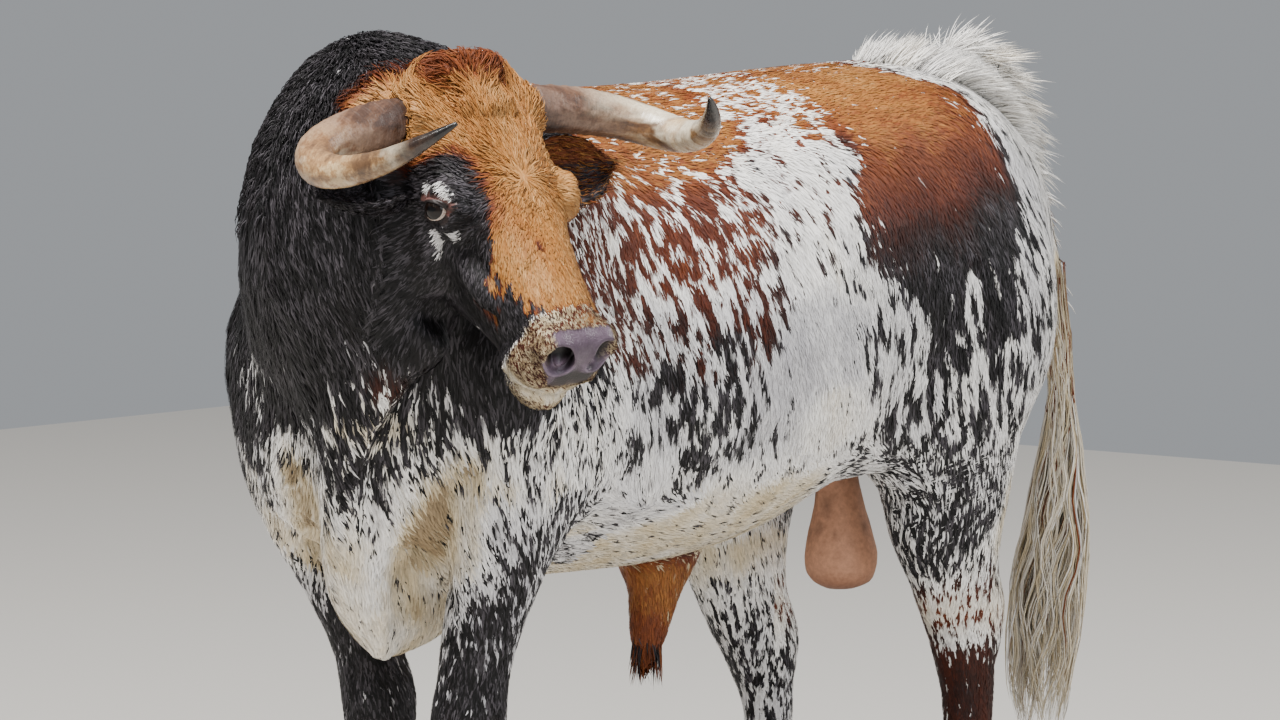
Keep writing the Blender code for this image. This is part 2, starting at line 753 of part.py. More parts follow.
def ear(side, word, collection):
    """A leaf-shaped cup that opens forward, narrow at its root."""
    root = level_at_poll(side * 0.118, -0.020, -0.192)
    tip = level_at_poll(side * 0.280, 0.010, EAR_TIPS[word])
    along = (tip - root).normalized()
    heading, _, above = poll_axes()
    face = heading * math.cos(EAR_ROLLS[word]) + above * math.sin(EAR_ROLLS[word])
    wide = along.cross(face).normalized()
    face = wide.cross(along).normalized()
    if face.dot(heading + above) < 0:
        face.negate()
    length = (tip - root).length
    rings = []
    for share in np.linspace(0, 1, 10):
        leaf = 0.020 + 0.034 * math.sin(math.pi * min(1, share * 1.02) ** 0.85) ** 0.9
        leaf *= 1 - 0.72 * smooth_step(share, 0.80, 1.0)
        curl = math.radians(150 - 70 * share)
        thick = 0.0105 - 0.0065 * share
        middle = root + along * length * share
        radius = leaf / math.sin(min(curl / 2, math.pi / 2))
        outer, inner = [], []
        for k in range(8):
            angle = curl * (k / 7 - 0.5) * 2 * 0.62
            spot = Vector((math.sin(angle), -math.cos(angle)))
            outer.append(middle + wide * radius * spot.x + face * (radius * spot.y + radius * 0.75))
            hollow = radius - thick
            inner.append(middle + wide * hollow * spot.x + face * (hollow * spot.y + radius * 0.75))
        rings.append(outer + inner[::-1])
    return place_mesh("ear_" + word, loft(rings), collection)


EYE_PLACE = (0.2115, 0.1130, -0.058)
EYE_RADIUS = 0.0235
EYE_FORWARD = math.radians(28)  # how far each eye looks forward of straight out
LID_TILT = math.radians(44)  # of the line between the lids from the line of the face


def eye_frame(side):
    """Axes at an eye's middle: X towards its inner corner, Y up, Z out of the eye."""
    u, v, w = EYE_PLACE
    ahead = Vector((math.cos(LID_TILT), 0, math.sin(LID_TILT)))
    out = Vector((0, side, 0)) * math.cos(EYE_FORWARD) + ahead * math.sin(EYE_FORWARD)
    up = Vector((-math.sin(LID_TILT), 0, math.cos(LID_TILT)))
    inner = up.cross(out) * (1 if up.cross(out).x > 0 else -1)
    axes = Matrix((inner, up, out)).transposed().to_4x4()
    return HEAD_PLACE @ Matrix.Translation((u, side * v, w)) @ axes


def eyeball(side, word, collection):
    return ellipsoid("eye_" + word, eye_frame(side).translation, [EYE_RADIUS] * 3, collection, rows=9)


def helper(obj):
    """Marks an object as a cutter, which isn't part of the bull."""
    obj.hide_render = True
    obj.display_type = "WIRE"
    return obj


def eye_opening(side, collection):
    """The almond between the lids."""
    frame = eye_frame(side)
    centre = frame @ Vector((0.001, -0.001, EYE_RADIUS * 1.05))
    turn = frame.to_3x3().to_4x4()
    return helper(ellipsoid("eye_slit", centre, (0.0265, 0.0150, 0.0190), collection, turn, rows=8))


def nostril(side, collection):
    """The round pit of a nostril, facing forward and out."""
    out = HEAD_PLACE.to_3x3() @ Vector((0.80, side * 0.60, 0))
    above = HEAD_PLACE.to_3x3() @ Vector((0, 0, 1))
    turn = frame_from(Vector(), out, above).to_3x3().to_4x4()
    centre = on_head(0.509, side * 0.049, -0.053)
    return helper(ellipsoid("nostril_hole", centre, (0.020, 0.0200, 0.0165), collection, turn, rows=7))


# The line of the mouth on the right side, from its corner to the middle of the lip.
MOUTH = (
    (0.440, -0.066, -0.150),
    (0.458, -0.069, -0.153),
    (0.476, -0.064, -0.154),
    (0.494, -0.050, -0.152),
    (0.508, -0.028, -0.148),
    (0.514, 0.000, -0.146),
)
MOUTH_DEPTH = 0.010
MOUTH_GAP = 0.0016  # half the height of the line


def mouth_cutter(collection):
    """A flat band that follows the lips, cutting their line."""
    half = [Vector(place) for place in MOUTH]
    whole = half + [Vector((u, -v, w)) for u, v, w in half[-2::-1]]
    rows = spline_rows([tuple(place) for place in whole], 21)
    rings = []
    for i, row in enumerate(rows):
        before, after = rows[max(i - 1, 0)], rows[min(i + 1, len(rows) - 1)]
        along = Vector(after - before).normalized()
        up = Vector((0, 0, 1))
        aside = along.cross(up).normalized()
        ends = 1 - 0.45 * (abs(i - 10) / 10) ** 4
        ring = []
        for k in range(8):
            a = 2 * math.pi * k / 8
            offset = aside * MOUTH_DEPTH * ends * math.cos(a) + up * MOUTH_GAP * math.sin(a)
            ring.append(HEAD_PLACE @ (Vector(row) + offset))
        rings.append(ring)
    return helper(place_mesh("mouth_line", loft(rings), collection))


def claw(name, x, y, out, collection):
    """One half of a cloven hoof: flat sole, sloping front wall, straight inner wall."""
    mesh = bmesh.new()
    bmesh.ops.create_cone(
        mesh, cap_ends=True, segments=18, radius1=1.0, radius2=0.84, depth=CORONET - GAP
    )
    for vert in mesh.verts:
        share = vert.co.z / (CORONET - GAP) + 0.5
        front = max(0.0, -vert.co.y)
        inside = max(0.0, -vert.co.x * out)
        wide = CLAW_HALF_WIDTH * (1 - 0.30 * front**2) * (1 - 0.18 * inside)
        vert.co.x = x + vert.co.x * wide - out * 0.010 * front**2
        vert.co.y = y + vert.co.y * CLAW_HALF_LENGTH + 0.022 * share
        vert.co.z = (CORONET - GAP) * share
    return place_mesh(name, mesh, collection)


CLAW_HALF_WIDTH = 0.0285
CLAW_HALF_LENGTH = 0.058
CLAW_SPREAD = 0.0300  # of a claw's middle from the leg's


def hooves(nodes):
    for leg, sections, side in leg_list():
        x, y, _ = leg_place(sections[-1], side, STANCES[leg])
        for outer, word in ((1, "outer"), (-1, "inner")):
            out = side * outer
            claw(f"hoof_{leg}_{word}", x + out * CLAW_SPREAD, y - 0.018, out, nodes)


def leg_list():
    return (
        ("foreleg_left", FORELEG, 1),
        ("foreleg_right", FORELEG, -1),
        ("hindleg_left", HINDLEG, 1),
        ("hindleg_right", HINDLEG, -1),
    )


# Tail line: place and radius, from the croup to the root of the switch.
TAIL = (
    ((0.000, 0.560, 1.350), 0.034),
    ((0.000, 0.660, 1.378), 0.040),
    ((0.000, 0.750, 1.366), 0.042),
    ((0.004, 0.820, 1.305), 0.040),
    ((0.014, 0.858, 1.225), 0.035),
    ((0.028, 0.880, 1.150), 0.031),
    ((0.045, 0.896, 1.070), 0.027),
    ((0.060, 0.906, 0.985), 0.024),
    ((0.070, 0.912, 0.900), 0.021),
    ((0.078, 0.910, 0.800), 0.018),
    ((0.080, 0.906, 0.740), 0.016),
)


def tail(nodes):
    rows = spline_rows([(*place, radius) for place, radius in TAIL], 26)
    return tube("tail", [row[:3] for row in rows], [row[3] for row in rows], nodes, 12)


SWITCH = (
    ((0.078, 0.909, 0.815), 0.026),
    ((0.080, 0.905, 0.720), 0.040),
    ((0.076, 0.900, 0.620), 0.058),
    ((0.068, 0.893, 0.520), 0.070),
    ((0.060, 0.885, 0.420), 0.070),
    ((0.056, 0.880, 0.320), 0.052),
    ((0.055, 0.878, 0.240), 0.026),
    ((0.055, 0.878, 0.205), 0.008),
)


def switch(nodes):
    rows = spline_rows([(*place, radius) for place, radius in SWITCH], 12)[:-1]
    slim = [row[3] * (1 - (1 - SWITCH_CORE) * (1 - smooth_step(row[2], 0.66, 0.76))) for row in rows]
    return tube("tail_switch", [row[:3] for row in rows], slim, nodes, 12)


def scrotum(nodes):
    rows = spline_rows(
        [
            (0.395, 0.760, 0.040, 0.045),
            (0.400, 0.700, 0.040, 0.044),
            (0.402, 0.640, 0.050, 0.050),
            (0.404, 0.580, 0.064, 0.060),
            (0.404, 0.540, 0.056, 0.052),
            (0.404, 0.522, 0.024, 0.022),
        ],
        13,
    )
    rings = [
        [(wide * math.sin(a), y + deep * math.cos(a), z) for a in (2 * math.pi * k / 16 for k in range(16))]
        for y, z, wide, deep in rows
    ]
    return place_mesh("scrotum", loft(rings), nodes)


def sheath(nodes):
    rows = spline_rows(
        [
            (-0.072, 0.660, 0.058, 0.104),
            (-0.074, 0.610, 0.050, 0.086),
            (-0.080, 0.565, 0.036, 0.056),
            (-0.092, 0.520, 0.031, 0.042),
            (-0.100, 0.480, 0.026, 0.032),
            (-0.104, 0.462, 0.016, 0.020),
        ],
        12,
    )
    rings = [
        [(wide * math.sin(a), y + deep * math.cos(a), z) for a in (2 * math.pi * k / 16 for k in range(16))]
        for y, z, wide, deep in rows
    ]
    return place_mesh("sheath", loft(rings), nodes)

LOCK_SHAPE = (0.55, 1.0, 0.88, 0.52)  # a lock's width at its root and onward, before its point
LOCK_ROOT = 0.006  # how far a lock's root is sunk


def lock(spine, side, width, thick, collection):
    """A flat, tapered three-sided lock along its spine, its last place the point."""
    mesh = bmesh.new()
    rings = []
    for i, place in enumerate(spine[:-1]):
        along = (spine[i + 1] - spine[max(i - 1, 0)]).normalized()
        across = (side - along * side.dot(along)).normalized()
        out = along.cross(across)
        share = LOCK_SHAPE[min(i * len(LOCK_SHAPE) // (len(spine) - 1), len(LOCK_SHAPE) - 1)]
        half = width * share / 2
        corners = (place + across * half, place + out * thick * share, place - across * half)
        rings.append([mesh.verts.new(corner) for corner in corners])
    tip = mesh.verts.new(spine[-1])
    for first, second in zip(rings, rings[1:]):
        for i in range(3):
            j = (i + 1) % 3
            mesh.faces.new((first[i], first[j], second[j], second[i]))
    for i in range(3):
        mesh.faces.new((rings[-1][i], rings[-1][(i + 1) % 3], tip))
    mesh.faces.new(rings[0][::-1])
    bmesh.ops.triangulate(mesh, faces=mesh.faces)
    mesh.normal_update()
    bmesh.ops.recalc_face_normals(mesh, faces=mesh.faces)
    return place_mesh("lock", mesh, collection)


def fuse_locks(host, locks, nodes):
    """Joins a collection of locks to the piece that they grow from by one Boolean."""
    host = boolean(host, locks, "UNION", nodes)
    for piece in list(locks.objects):
        bpy.data.objects.remove(piece)
    return keep_largest(host)


def lock_collection(name):
    locks = bpy.data.collections.new(name)
    bpy.context.scene.collection.children.link(locks)
    locks.hide_render = True
    return locks


BRISTLES = 21
BRISTLE_REACH = (0.085, 0.60)  # shares of the tail's line that they stand on
BRISTLE_LENGTH = 0.058


def bristle(dock):
    """White bristles that stand along the back of the upper tail."""
    rows = spline_rows([(*place, radius) for place, radius in TAIL], 61)
    locks = lock_collection("bristles")
    chance = random.Random(3)
    for k in range(BRISTLES):
        share = BRISTLE_REACH[0] + (BRISTLE_REACH[1] - BRISTLE_REACH[0]) * (k + 0.5) / BRISTLES
        i = int(share * (len(rows) - 1))
        place = Vector(rows[i][:3])
        along = (Vector(rows[i + 1][:3]) - Vector(rows[i - 1][:3])).normalized()
        across = Vector((1, 0, 0))
        out = across.cross(along).normalized()
        out = -out if out.dot(Vector((0, 0.6, 0.8))) < 0 else out
        lean = math.radians((24 if k % 2 else -24) + chance.uniform(-8, 8))
        away = out * math.cos(lean) + across * math.sin(lean)
        length = BRISTLE_LENGTH * chance.uniform(0.75, 1.15) * (1 - 0.35 * share)
        root = place + away * (rows[i][3] - LOCK_ROOT)
        spine = [root + away * length * t + along * length * (0.35 * t + 0.75 * t * t) for t in (0, 0.3, 0.62, 1)]
        lock(spine, away.cross(along), 0.024, 0.006, locks)
    return fuse_locks(dock, locks, dock.users_collection[0])


SWITCH_LOCKS = 18
SWITCH_CORE = 0.52  # how much of the switch's width its core fills below the tail's end
SWITCH_SWAY = 0.010


def switch_locks(core):
    """Long wavy locks round the core of the tail's switch, down to their own tips."""
    rows = spline_rows([(*place, radius) for place, radius in SWITCH], 61)
    locks = lock_collection("switch_locks")
    chance = random.Random(5)
    for k in range(SWITCH_LOCKS):
        turn = 2.4 * k + chance.uniform(-0.2, 0.2)
        start = 0.16 + 0.38 * k / SWITCH_LOCKS
        end = min(0.985, start + chance.uniform(0.42, 0.52))
        spine = []
        for j in range(6):
            t = j / 5
            row = rows[round((start + (end - start) * t) * (len(rows) - 1))]
            angle = turn + 0.30 * t
            out = Vector((math.cos(angle), math.sin(angle), 0))
            reach = row[3] * (0.40 + 0.50 * math.sin(math.pi * min(1, 0.15 + 0.85 * t)))
            sway = SWITCH_SWAY * math.sin(5.5 * t + k)
            spine.append(Vector(row[:3]) + out * reach + Vector((-out.y, out.x, 0)) * sway * min(1, 2 * t))
        side = Vector((-math.sin(turn), math.cos(turn), 0))
        lock(spine, side, 0.036, 0.011, locks)
    return fuse_locks(core, locks, core.users_collection[0])


SHEATH_LOCKS = 7
SHEATH_LOCK_LENGTH = 0.085


def sheath_locks(cover):
    """The tuft of hair that hangs from the sheath's end."""
    locks = lock_collection("sheath_locks")
    chance = random.Random(9)
    for k in range(SHEATH_LOCKS):
        turn = 2 * math.pi * k / SHEATH_LOCKS
        out = Vector((math.sin(turn), math.cos(turn), 0))
        root = Vector((0.001, -0.104, 0.4735)) + Vector((out.x * 0.013, out.y * 0.016, 0))
        length = SHEATH_LOCK_LENGTH * chance.uniform(0.6, 1.0)
        spine = [root + Vector((0, 0, -length * t)) + out * 0.012 * t * (1 - t) for t in (0, 0.3, 0.65, 1)]
        lock(spine, Vector((-out.y, out.x, 0)), 0.017, 0.005, locks)
    return fuse_locks(cover, locks, cover.users_collection[0])


# Roots of the hair on the poll as places on the head: down the face, to its left.
POLL_LOCKS = (
    (-0.014, -0.036),
    (-0.016, -0.012),
    (-0.014, 0.014),
    (-0.012, 0.038),
    (0.022, -0.024),
    (0.020, 0.001),
    (0.022, 0.026),
    (0.056, -0.036),
    (0.054, -0.012),
    (0.056, 0.014),
    (0.060, 0.038),
)
POLL_LOCK_LENGTH = 0.052


def poll_locks(head):
    """Shaggy hair over the poll, lying down the forehead."""
    locks = lock_collection("poll_locks")
    chance = random.Random(11)
    skin = BVHTree.FromPolygons([vert.co for vert in head.data.vertices], [face.vertices for face in head.data.polygons])
    down = on_head(1, 0, 0) - on_head(0, 0, 0)
    left = on_head(0, 1, 0) - on_head(0, 0, 0)
    for u, v in POLL_LOCKS:
        seed = on_head(u, v, 0.12)
        root, out = skin.ray_cast(seed, on_head(0, 0, 0) - on_head(0, 0, 1))[:2]
        if root is None:
            continue
        lie = down + left * (v * 2.0 + chance.uniform(-0.15, 0.15))
        lie = (lie - out * lie.dot(out)).normalized()
        length = POLL_LOCK_LENGTH * chance.uniform(0.85, 1.15)
        rises = ((0, -LOCK_ROOT), (0.32, 0.011), (0.68, 0.012), (1, 0.005))
        spine = []
        for t, rise in rises:
            spot, face_out = skin.find_nearest(root + lie * length * t)[:2]
            spine.append(spot + face_out * rise)
        lock(spine, out.cross(lie), 0.026, 0.008, locks)
    return fuse_locks(head, locks, head.users_collection[0])



def finish(nodes):
    """Gives every piece its own material, and stands the bull over the middle of the floor."""
    pieces = list(nodes.objects)
    corners = np.array([vert.co for piece in pieces for vert in piece.data.vertices])
    middle = (corners.min(axis=0) + corners.max(axis=0)) / 2
    for piece in pieces:
        piece.data.transform(Matrix.Translation((-middle[0], -middle[1], 0)))
        colour, roughness = FINISHES[piece.name.split("_")[0]]
        material = bpy.data.materials.new(piece.name)
        material.use_nodes = True
        shader = material.node_tree.nodes["Principled BSDF"]
        shader.inputs["Base Color"].default_value = colour
        shader.inputs["Roughness"].default_value = roughness
        shader.inputs["Metallic"].default_value = 0.0
        piece.data.materials.clear()
        piece.data.materials.append(material)


def main():
    for obj in list(bpy.data.objects):
        bpy.data.objects.remove(obj)
    nodes = bpy.data.collections.new("bull")
    cutters = bpy.data.collections.new("cutters")
    flesh = bpy.data.collections.new("flesh")
    for collection in (nodes, cutters, flesh):
        bpy.context.scene.collection.children.link(collection)
    cutters.hide_render = True

    torso_masses(flesh)
    neck_masses(flesh)
    melt_core(flesh)
    bony_points(flesh)
    dewlap_mass(flesh)
    brisket_mass(flesh)
    for name, sections, side in leg_list():
        leg_mass(name, sections, side, flesh)
    head_masses(flesh)
    whole = fuse_flesh("whole", flesh, nodes)
    whole = thin_out(whole, FLESH_TRIANGLES, nodes)
    parts = part_flesh(whole, nodes, cutters)

    head, neck, torso = parts["head"], parts["neck"], parts["torso"]
    for side, word in ((1, "left"), (-1, "right")):
        head = socket(head, horn(side, word, nodes), nodes, cutters)
        leaf = ear(side, word, nodes)
        head = socket(head, leaf, nodes, cutters, 2 * GAP)
        neck = socket(neck, leaf, nodes, cutters, 2 * GAP)
        head = socket(head, eyeball(side, word, nodes), nodes, cutters)
        head = boolean(head, eye_opening(side, cutters), "DIFFERENCE", nodes)
        head = boolean(head, nostril(side, cutters), "DIFFERENCE", nodes)
    head = keep_largest(boolean(head, mouth_cutter(cutters), "DIFFERENCE", nodes))
    poll_locks(head)
    hooves(nodes)
    dock = tail(nodes)
    torso = socket(torso, dock, nodes, cutters)
    torso = socket(torso, scrotum(nodes), nodes, cutters)
    cover = sheath(nodes)
    socket(torso, cover, nodes, cutters)
    sheath_locks(cover)
    hair = socket(switch(nodes), dock, nodes, cutters)
    switch_locks(hair)
    bristle(dock)
    finish(nodes)


if __name__ == "__main__":
    main()
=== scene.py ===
import json
import math

import bmesh
import bpy
import numpy as np
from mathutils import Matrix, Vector
from mathutils.bvhtree import BVHTree

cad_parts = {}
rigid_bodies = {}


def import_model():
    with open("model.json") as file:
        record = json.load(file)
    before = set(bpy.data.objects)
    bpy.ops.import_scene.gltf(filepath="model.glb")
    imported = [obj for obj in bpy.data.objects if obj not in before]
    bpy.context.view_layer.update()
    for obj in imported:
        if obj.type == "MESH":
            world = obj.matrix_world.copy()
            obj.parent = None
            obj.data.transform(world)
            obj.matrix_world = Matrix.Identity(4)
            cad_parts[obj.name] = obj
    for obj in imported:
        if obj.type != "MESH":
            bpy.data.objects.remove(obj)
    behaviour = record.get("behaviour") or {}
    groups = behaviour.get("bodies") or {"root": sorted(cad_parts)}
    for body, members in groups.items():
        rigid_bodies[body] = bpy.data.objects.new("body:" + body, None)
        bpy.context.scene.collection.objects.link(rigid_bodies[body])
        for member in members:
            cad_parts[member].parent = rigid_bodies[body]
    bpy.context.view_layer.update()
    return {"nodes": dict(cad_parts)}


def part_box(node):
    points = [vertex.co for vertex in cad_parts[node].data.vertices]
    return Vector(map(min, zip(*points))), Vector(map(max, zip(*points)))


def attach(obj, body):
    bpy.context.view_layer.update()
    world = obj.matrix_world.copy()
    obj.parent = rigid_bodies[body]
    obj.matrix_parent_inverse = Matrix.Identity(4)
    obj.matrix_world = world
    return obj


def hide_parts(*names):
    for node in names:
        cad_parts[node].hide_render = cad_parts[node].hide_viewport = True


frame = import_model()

random = np.random.default_rng(7)


def array(*values):
    return np.array(values, float)


# Every place below was measured with the scrotum's middle here, so it moves with the frame.
boxLow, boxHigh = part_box("scrotum")
shift = (array(*boxLow) + array(*boxHigh)) / 2 * array(1, 1, 0) - array(-0.14266, 0.55310, 0)
midX = -0.14266 + shift[0]
middlePlane = -0.14266
modelMiddle = array(-0.142662, 0.149172, 0)

# The head hangs from the poll: u runs down the face, v to its left, w out of the forehead.
poll = array(0.137338, -0.735828, 1.456) + shift
headTurn = math.radians(77)
headPitch = math.radians(50)
headTilt = math.radians(2.5)
heading = array(math.sin(headTurn), -math.cos(headTurn), 0)
levelLeft = array(math.cos(headTurn), math.sin(headTurn), 0)
headLeft = levelLeft * math.cos(headTilt) + array(0, 0, 1) * math.sin(headTilt)
headUp = np.cross(heading, headLeft)
downFace = heading * math.cos(headPitch) - headUp * math.sin(headPitch)
outFace = heading * math.sin(headPitch) + headUp * math.cos(headPitch)
headAxes = np.stack([downFace, headLeft, outFace])


def onHead(u, v, w):
    return poll + downFace * u + headLeft * v + outFace * w


def toHead(points):
    return (points - poll) @ headAxes.T


# A colour code as linear values.
def linear(code, alpha=1.0):
    parts = [int(code[i : i + 2], 16) / 255 for i in (0, 2, 4)]
    return tuple([p / 12.92 if p <= 0.04045 else ((p + 0.055) / 1.055) ** 2.4 for p in parts] + [alpha])


def smoothStep(values, low, high):
    share = np.clip((values - low) / (high - low), 0, 1)
    return share * share * (3 - 2 * share)


def unit(vectors):
    return vectors / np.maximum(np.linalg.norm(vectors, axis=-1, keepdims=True), 1e-9)


def deselect():
    for obj in list(bpy.context.selected_objects):
        obj.select_set(False)


def activate(obj):
    deselect()
    obj.select_set(True)
    bpy.context.view_layer.objects.active = obj


def applyAll(obj):
    activate(obj)
    for modifier in list(obj.modifiers):
        bpy.ops.object.modifier_apply(modifier=modifier.name)


def joined(objects, name):
    deselect()
    for obj in objects:
        obj.select_set(True)
    bpy.context.view_layer.objects.active = objects[0]
    bpy.ops.object.join()
    objects[0].name = name
    return objects[0]


# A welded copy of a CAD node's mesh.
def copyOfNode(node):
    mesh = bmesh.new()
    mesh.from_mesh(frame["nodes"][node].data)
    bmesh.ops.remove_doubles(mesh, verts=mesh.verts, dist=0.00002)
    data = bpy.data.meshes.new(node + "Copy")
    mesh.to_mesh(data)
    mesh.free()
    obj = bpy.data.objects.new(node + "Copy", data)
    bpy.context.scene.collection.objects.link(obj)
    return obj


def meshPoints(obj):
    flat = np.empty(len(obj.data.vertices) * 3)
    obj.data.vertices.foreach_get("co", flat)
    return flat.reshape(-1, 3)


def setPoints(obj, points):
    obj.data.vertices.foreach_set("co", points.astype(np.float32).ravel())
    obj.data.update()


def meshNormals(obj):
    flat = np.empty(len(obj.data.vertices) * 3)
    obj.data.vertices.foreach_get("normal", flat)
    return flat.reshape(-1, 3)


def weighGroup(obj, name, weights):
    group = obj.vertex_groups.new(name=name)
    steps = np.round(weights * 20).astype(int)
    for level in range(1, 21):
        chosen = np.nonzero(steps == level)[0]
        if len(chosen):
            group.add(chosen.tolist(), level / 20, "REPLACE")
    return group


def smoothOut(obj, passes, group=""):
    modifier = obj.modifiers.new("smooth", "SMOOTH")
    modifier.factor = 0.5
    modifier.iterations = passes
    modifier.vertex_group = group
    applyAll(obj)


def setFloat(obj, name, values):
    attribute = obj.data.attributes.new(name, "FLOAT", "POINT")
    attribute.data.foreach_set("value", values.astype(np.float32))


def setVector(obj, name, values):
    attribute = obj.data.attributes.new(name, "FLOAT_VECTOR", "POINT")
    attribute.data.foreach_set("vector", values.astype(np.float32).ravel())


# One shader node with its settings, its input values or links and, on a ramp, its stops.
def addNode(tree, kind, inputs=None, give=0, stops=(), **settings):
    node = tree.nodes.new("ShaderNode" + kind)
    for key, value in settings.items():
        setattr(node, key, value)
    while stops and len(node.color_ramp.elements) < len(stops):
        node.color_ramp.elements.new(0.5)
    for number, (place, color) in enumerate(stops):
        node.color_ramp.elements[number].position = place
        node.color_ramp.elements[number].color = color
    for key, value in (inputs or {}).items():
        if isinstance(value, bpy.types.NodeSocket):
            tree.links.new(value, node.inputs[key])
        else:
            node.inputs[key].default_value = value
    return list(node.outputs) if give == "all" else node.outputs[give]


def newMaterial(name):
    material = bpy.data.materials.new(name)
    material.use_nodes = True
    return material, material.node_tree, material.node_tree.nodes["Principled BSDF"]


print("skin")
fleshNodes = [
    "head",
    "neck",
    "torso",
    "foreleg_left",
    "foreleg_right",
    "hindleg_left",
    "hindleg_right",
    "scrotum",
    "sheath",
    "tail",
]
skinSettings = {
    "voxel": 0.0062,
    "overlap": 0.0007,
    "triangles": 58000,
}

eyePlace = (0.2115, 0.1130, -0.058)
eyeRadius = 0.0235
eyeForward = math.radians(28)
lidTilt = math.radians(44)


# Rows X towards the inner corner, Y up, Z out of the eye, with the eye's middle.
def eyeAxes(side):
    ahead = array(math.cos(lidTilt), 0, math.sin(lidTilt))
    out = array(0, side, 0) * math.cos(eyeForward) + ahead * math.sin(eyeForward)
    up = array(-math.sin(lidTilt), 0, math.cos(lidTilt))
    inner = np.cross(up, out)
    if inner[0] < 0:
        inner = -inner
    u, v, w = eyePlace
    rows = np.stack([inner, up, out]) @ headAxes
    return rows, onHead(u, side * v, w)


mouthLine = [
    (0.440, -0.066, -0.150),
    (0.458, -0.069, -0.153),
    (0.476, -0.064, -0.154),
    (0.494, -0.050, -0.152),
    (0.508, -0.028, -0.148),
    (0.514, 0.000, -0.146),
]
mouthLine = mouthLine + [(u, -v, w) for u, v, w in mouthLine[-2::-1]]


def plug(place, radius):
    bpy.ops.mesh.primitive_uv_sphere_add(segments=20, ring_count=12, radius=radius, location=tuple(place))
    bpy.ops.object.transform_apply()
    return bpy.context.object


# One skin over all the flesh, its openings filled to be cut again more finely.
def buildSkin():
    copies = []
    for node in fleshNodes:
        copy = copyOfNode(node)
        points = meshPoints(copy)
        setPoints(copy, points + meshNormals(copy) * skinSettings["overlap"])
        copies.append(copy)
    for side in (-1, 1):
        copies.append(plug(eyeAxes(side)[1], eyeRadius + 0.0012))
        copies.append(plug(onHead(0.497, side * 0.043, -0.055), 0.0165))
    for u, v, w in mouthLine:
        copies.append(plug(onHead(u - 0.008, v * 0.86, w + 0.001), 0.008))
    skin = joined(copies, "hide")
    remesh = skin.modifiers.new("fuse", "REMESH")
    remesh.mode = "VOXEL"
    remesh.voxel_size = skinSettings["voxel"]
    applyAll(skin)
    return skin


# 1 on the head, falling to 0 behind the nape.
def faceShare(points):
    place = toHead(points)
    inside = (1 - smoothStep(np.abs(place[:, 1]), 0.142, 0.156)) * (place[:, 2] > -0.31)
    return smoothStep(place[:, 0] + 0.35 * (place[:, 2] + 0.1), -0.09, 0.01) * inside


skin = buildSkin()
points = meshPoints(skin)
face = faceShare(points)
onTrunk = smoothStep(points[:, 2], 0.55, 0.74) * (1 - face)
onTrunk *= 1 - 0.9 * smoothStep(points[:, 1], 0.70 + shift[1], 0.80 + shift[1])
weighGroup(skin, "trunk", onTrunk)
smoothOut(skin, 34, "trunk")
smoothOut(skin, 7)
weighGroup(skin, "coarse", np.clip(1.0 - 0.92 * face - 0.35 * (1 - onTrunk) * (1 - face), 0.05, 1))
collapse = skin.modifiers.new("thin", "DECIMATE")
collapse.ratio = skinSettings["triangles"] / (2 * len(skin.data.polygons))
collapse.vertex_group = "coarse"
collapse.vertex_group_factor = 1.5
applyAll(skin)
print("  thinned to", len(skin.data.polygons))


# Splits the faces whose middles are chosen.
def refine(obj, chosen):
    mesh = bmesh.new()
    mesh.from_mesh(obj.data)
    middles = np.array([tuple(face.calc_center_median()) for face in mesh.faces])
    picked = chosen(middles)
    edges = {edge for face, take in zip(mesh.faces, picked) if take for edge in face.edges}
    bmesh.ops.subdivide_edges(mesh, edges=list(edges), cuts=1, use_grid_fill=True)
    bmesh.ops.triangulate(mesh, faces=mesh.faces)
    mesh.to_mesh(obj.data)
    mesh.free()


def onFaceFront(middles):
    place = toHead(middles)
    return (place[:, 0] > 0.165) & (place[:, 2] > -0.20) & (np.abs(place[:, 1]) < 0.17) & (place[:, 0] < 0.6)


def nearFeatures(middles):
    near = np.zeros(len(middles), bool)
    for side in (-1, 1):
        near |= np.linalg.norm(middles - eyeAxes(side)[1], axis=1) < 0.048
        near |= np.linalg.norm(middles - onHead(0.505, side * 0.045, -0.055), axis=1) < 0.034
    for u, v, w in mouthLine:
        near |= np.linalg.norm(middles - onHead(u, v, w), axis=1) < 0.016
    return near


def nearEyes(middles):
    near = np.zeros(len(middles), bool)
    for side in (-1, 1):
        near |= np.linalg.norm(middles - eyeAxes(side)[1], axis=1) < 0.0370
    return near


refine(skin, onFaceFront)
smoothOut(skin, 2)
refine(skin, nearFeatures)
refine(skin, nearEyes)
print("  refined to", len(skin.data.polygons))


# A soft, seeded unevenness, from -1 to 1.
def waves(points, size, seed):
    source = np.random.default_rng(seed)
    total = np.zeros(len(points))
    for _ in range(5):
        direction = unit(source.normal(size=3)) / size
        total += np.sin(points @ direction + source.uniform(0, 6.3))
    return total / 3.2


# Strokes over the skin. Each is a soft groove or ridge along a line of places.
def strokeShare(points, line, width):
    best = np.full(len(points), 9.0)
    line = np.array(line, float)
    for start, end in zip(line[:-1], line[1:]):
        along = end - start
        length = max(along @ along, 1e-12)
        share = np.clip(((points - start) @ along) / length, 0, 1)
        gap = np.linalg.norm(points - (start + share[:, None] * along), axis=1)
        best = np.minimum(best, gap)
    return np.exp(-((best / width) ** 2))


# Places on the flank as (distance from the middle, y, z), for the left side or its mirror.
def bodyLine(side, *places):
    return [array(midX + side * out, y + shift[1], z) for out, y, z in places]


def headLine(side, *places):
    return [onHead(u, side * v, w) for u, v, w in places]


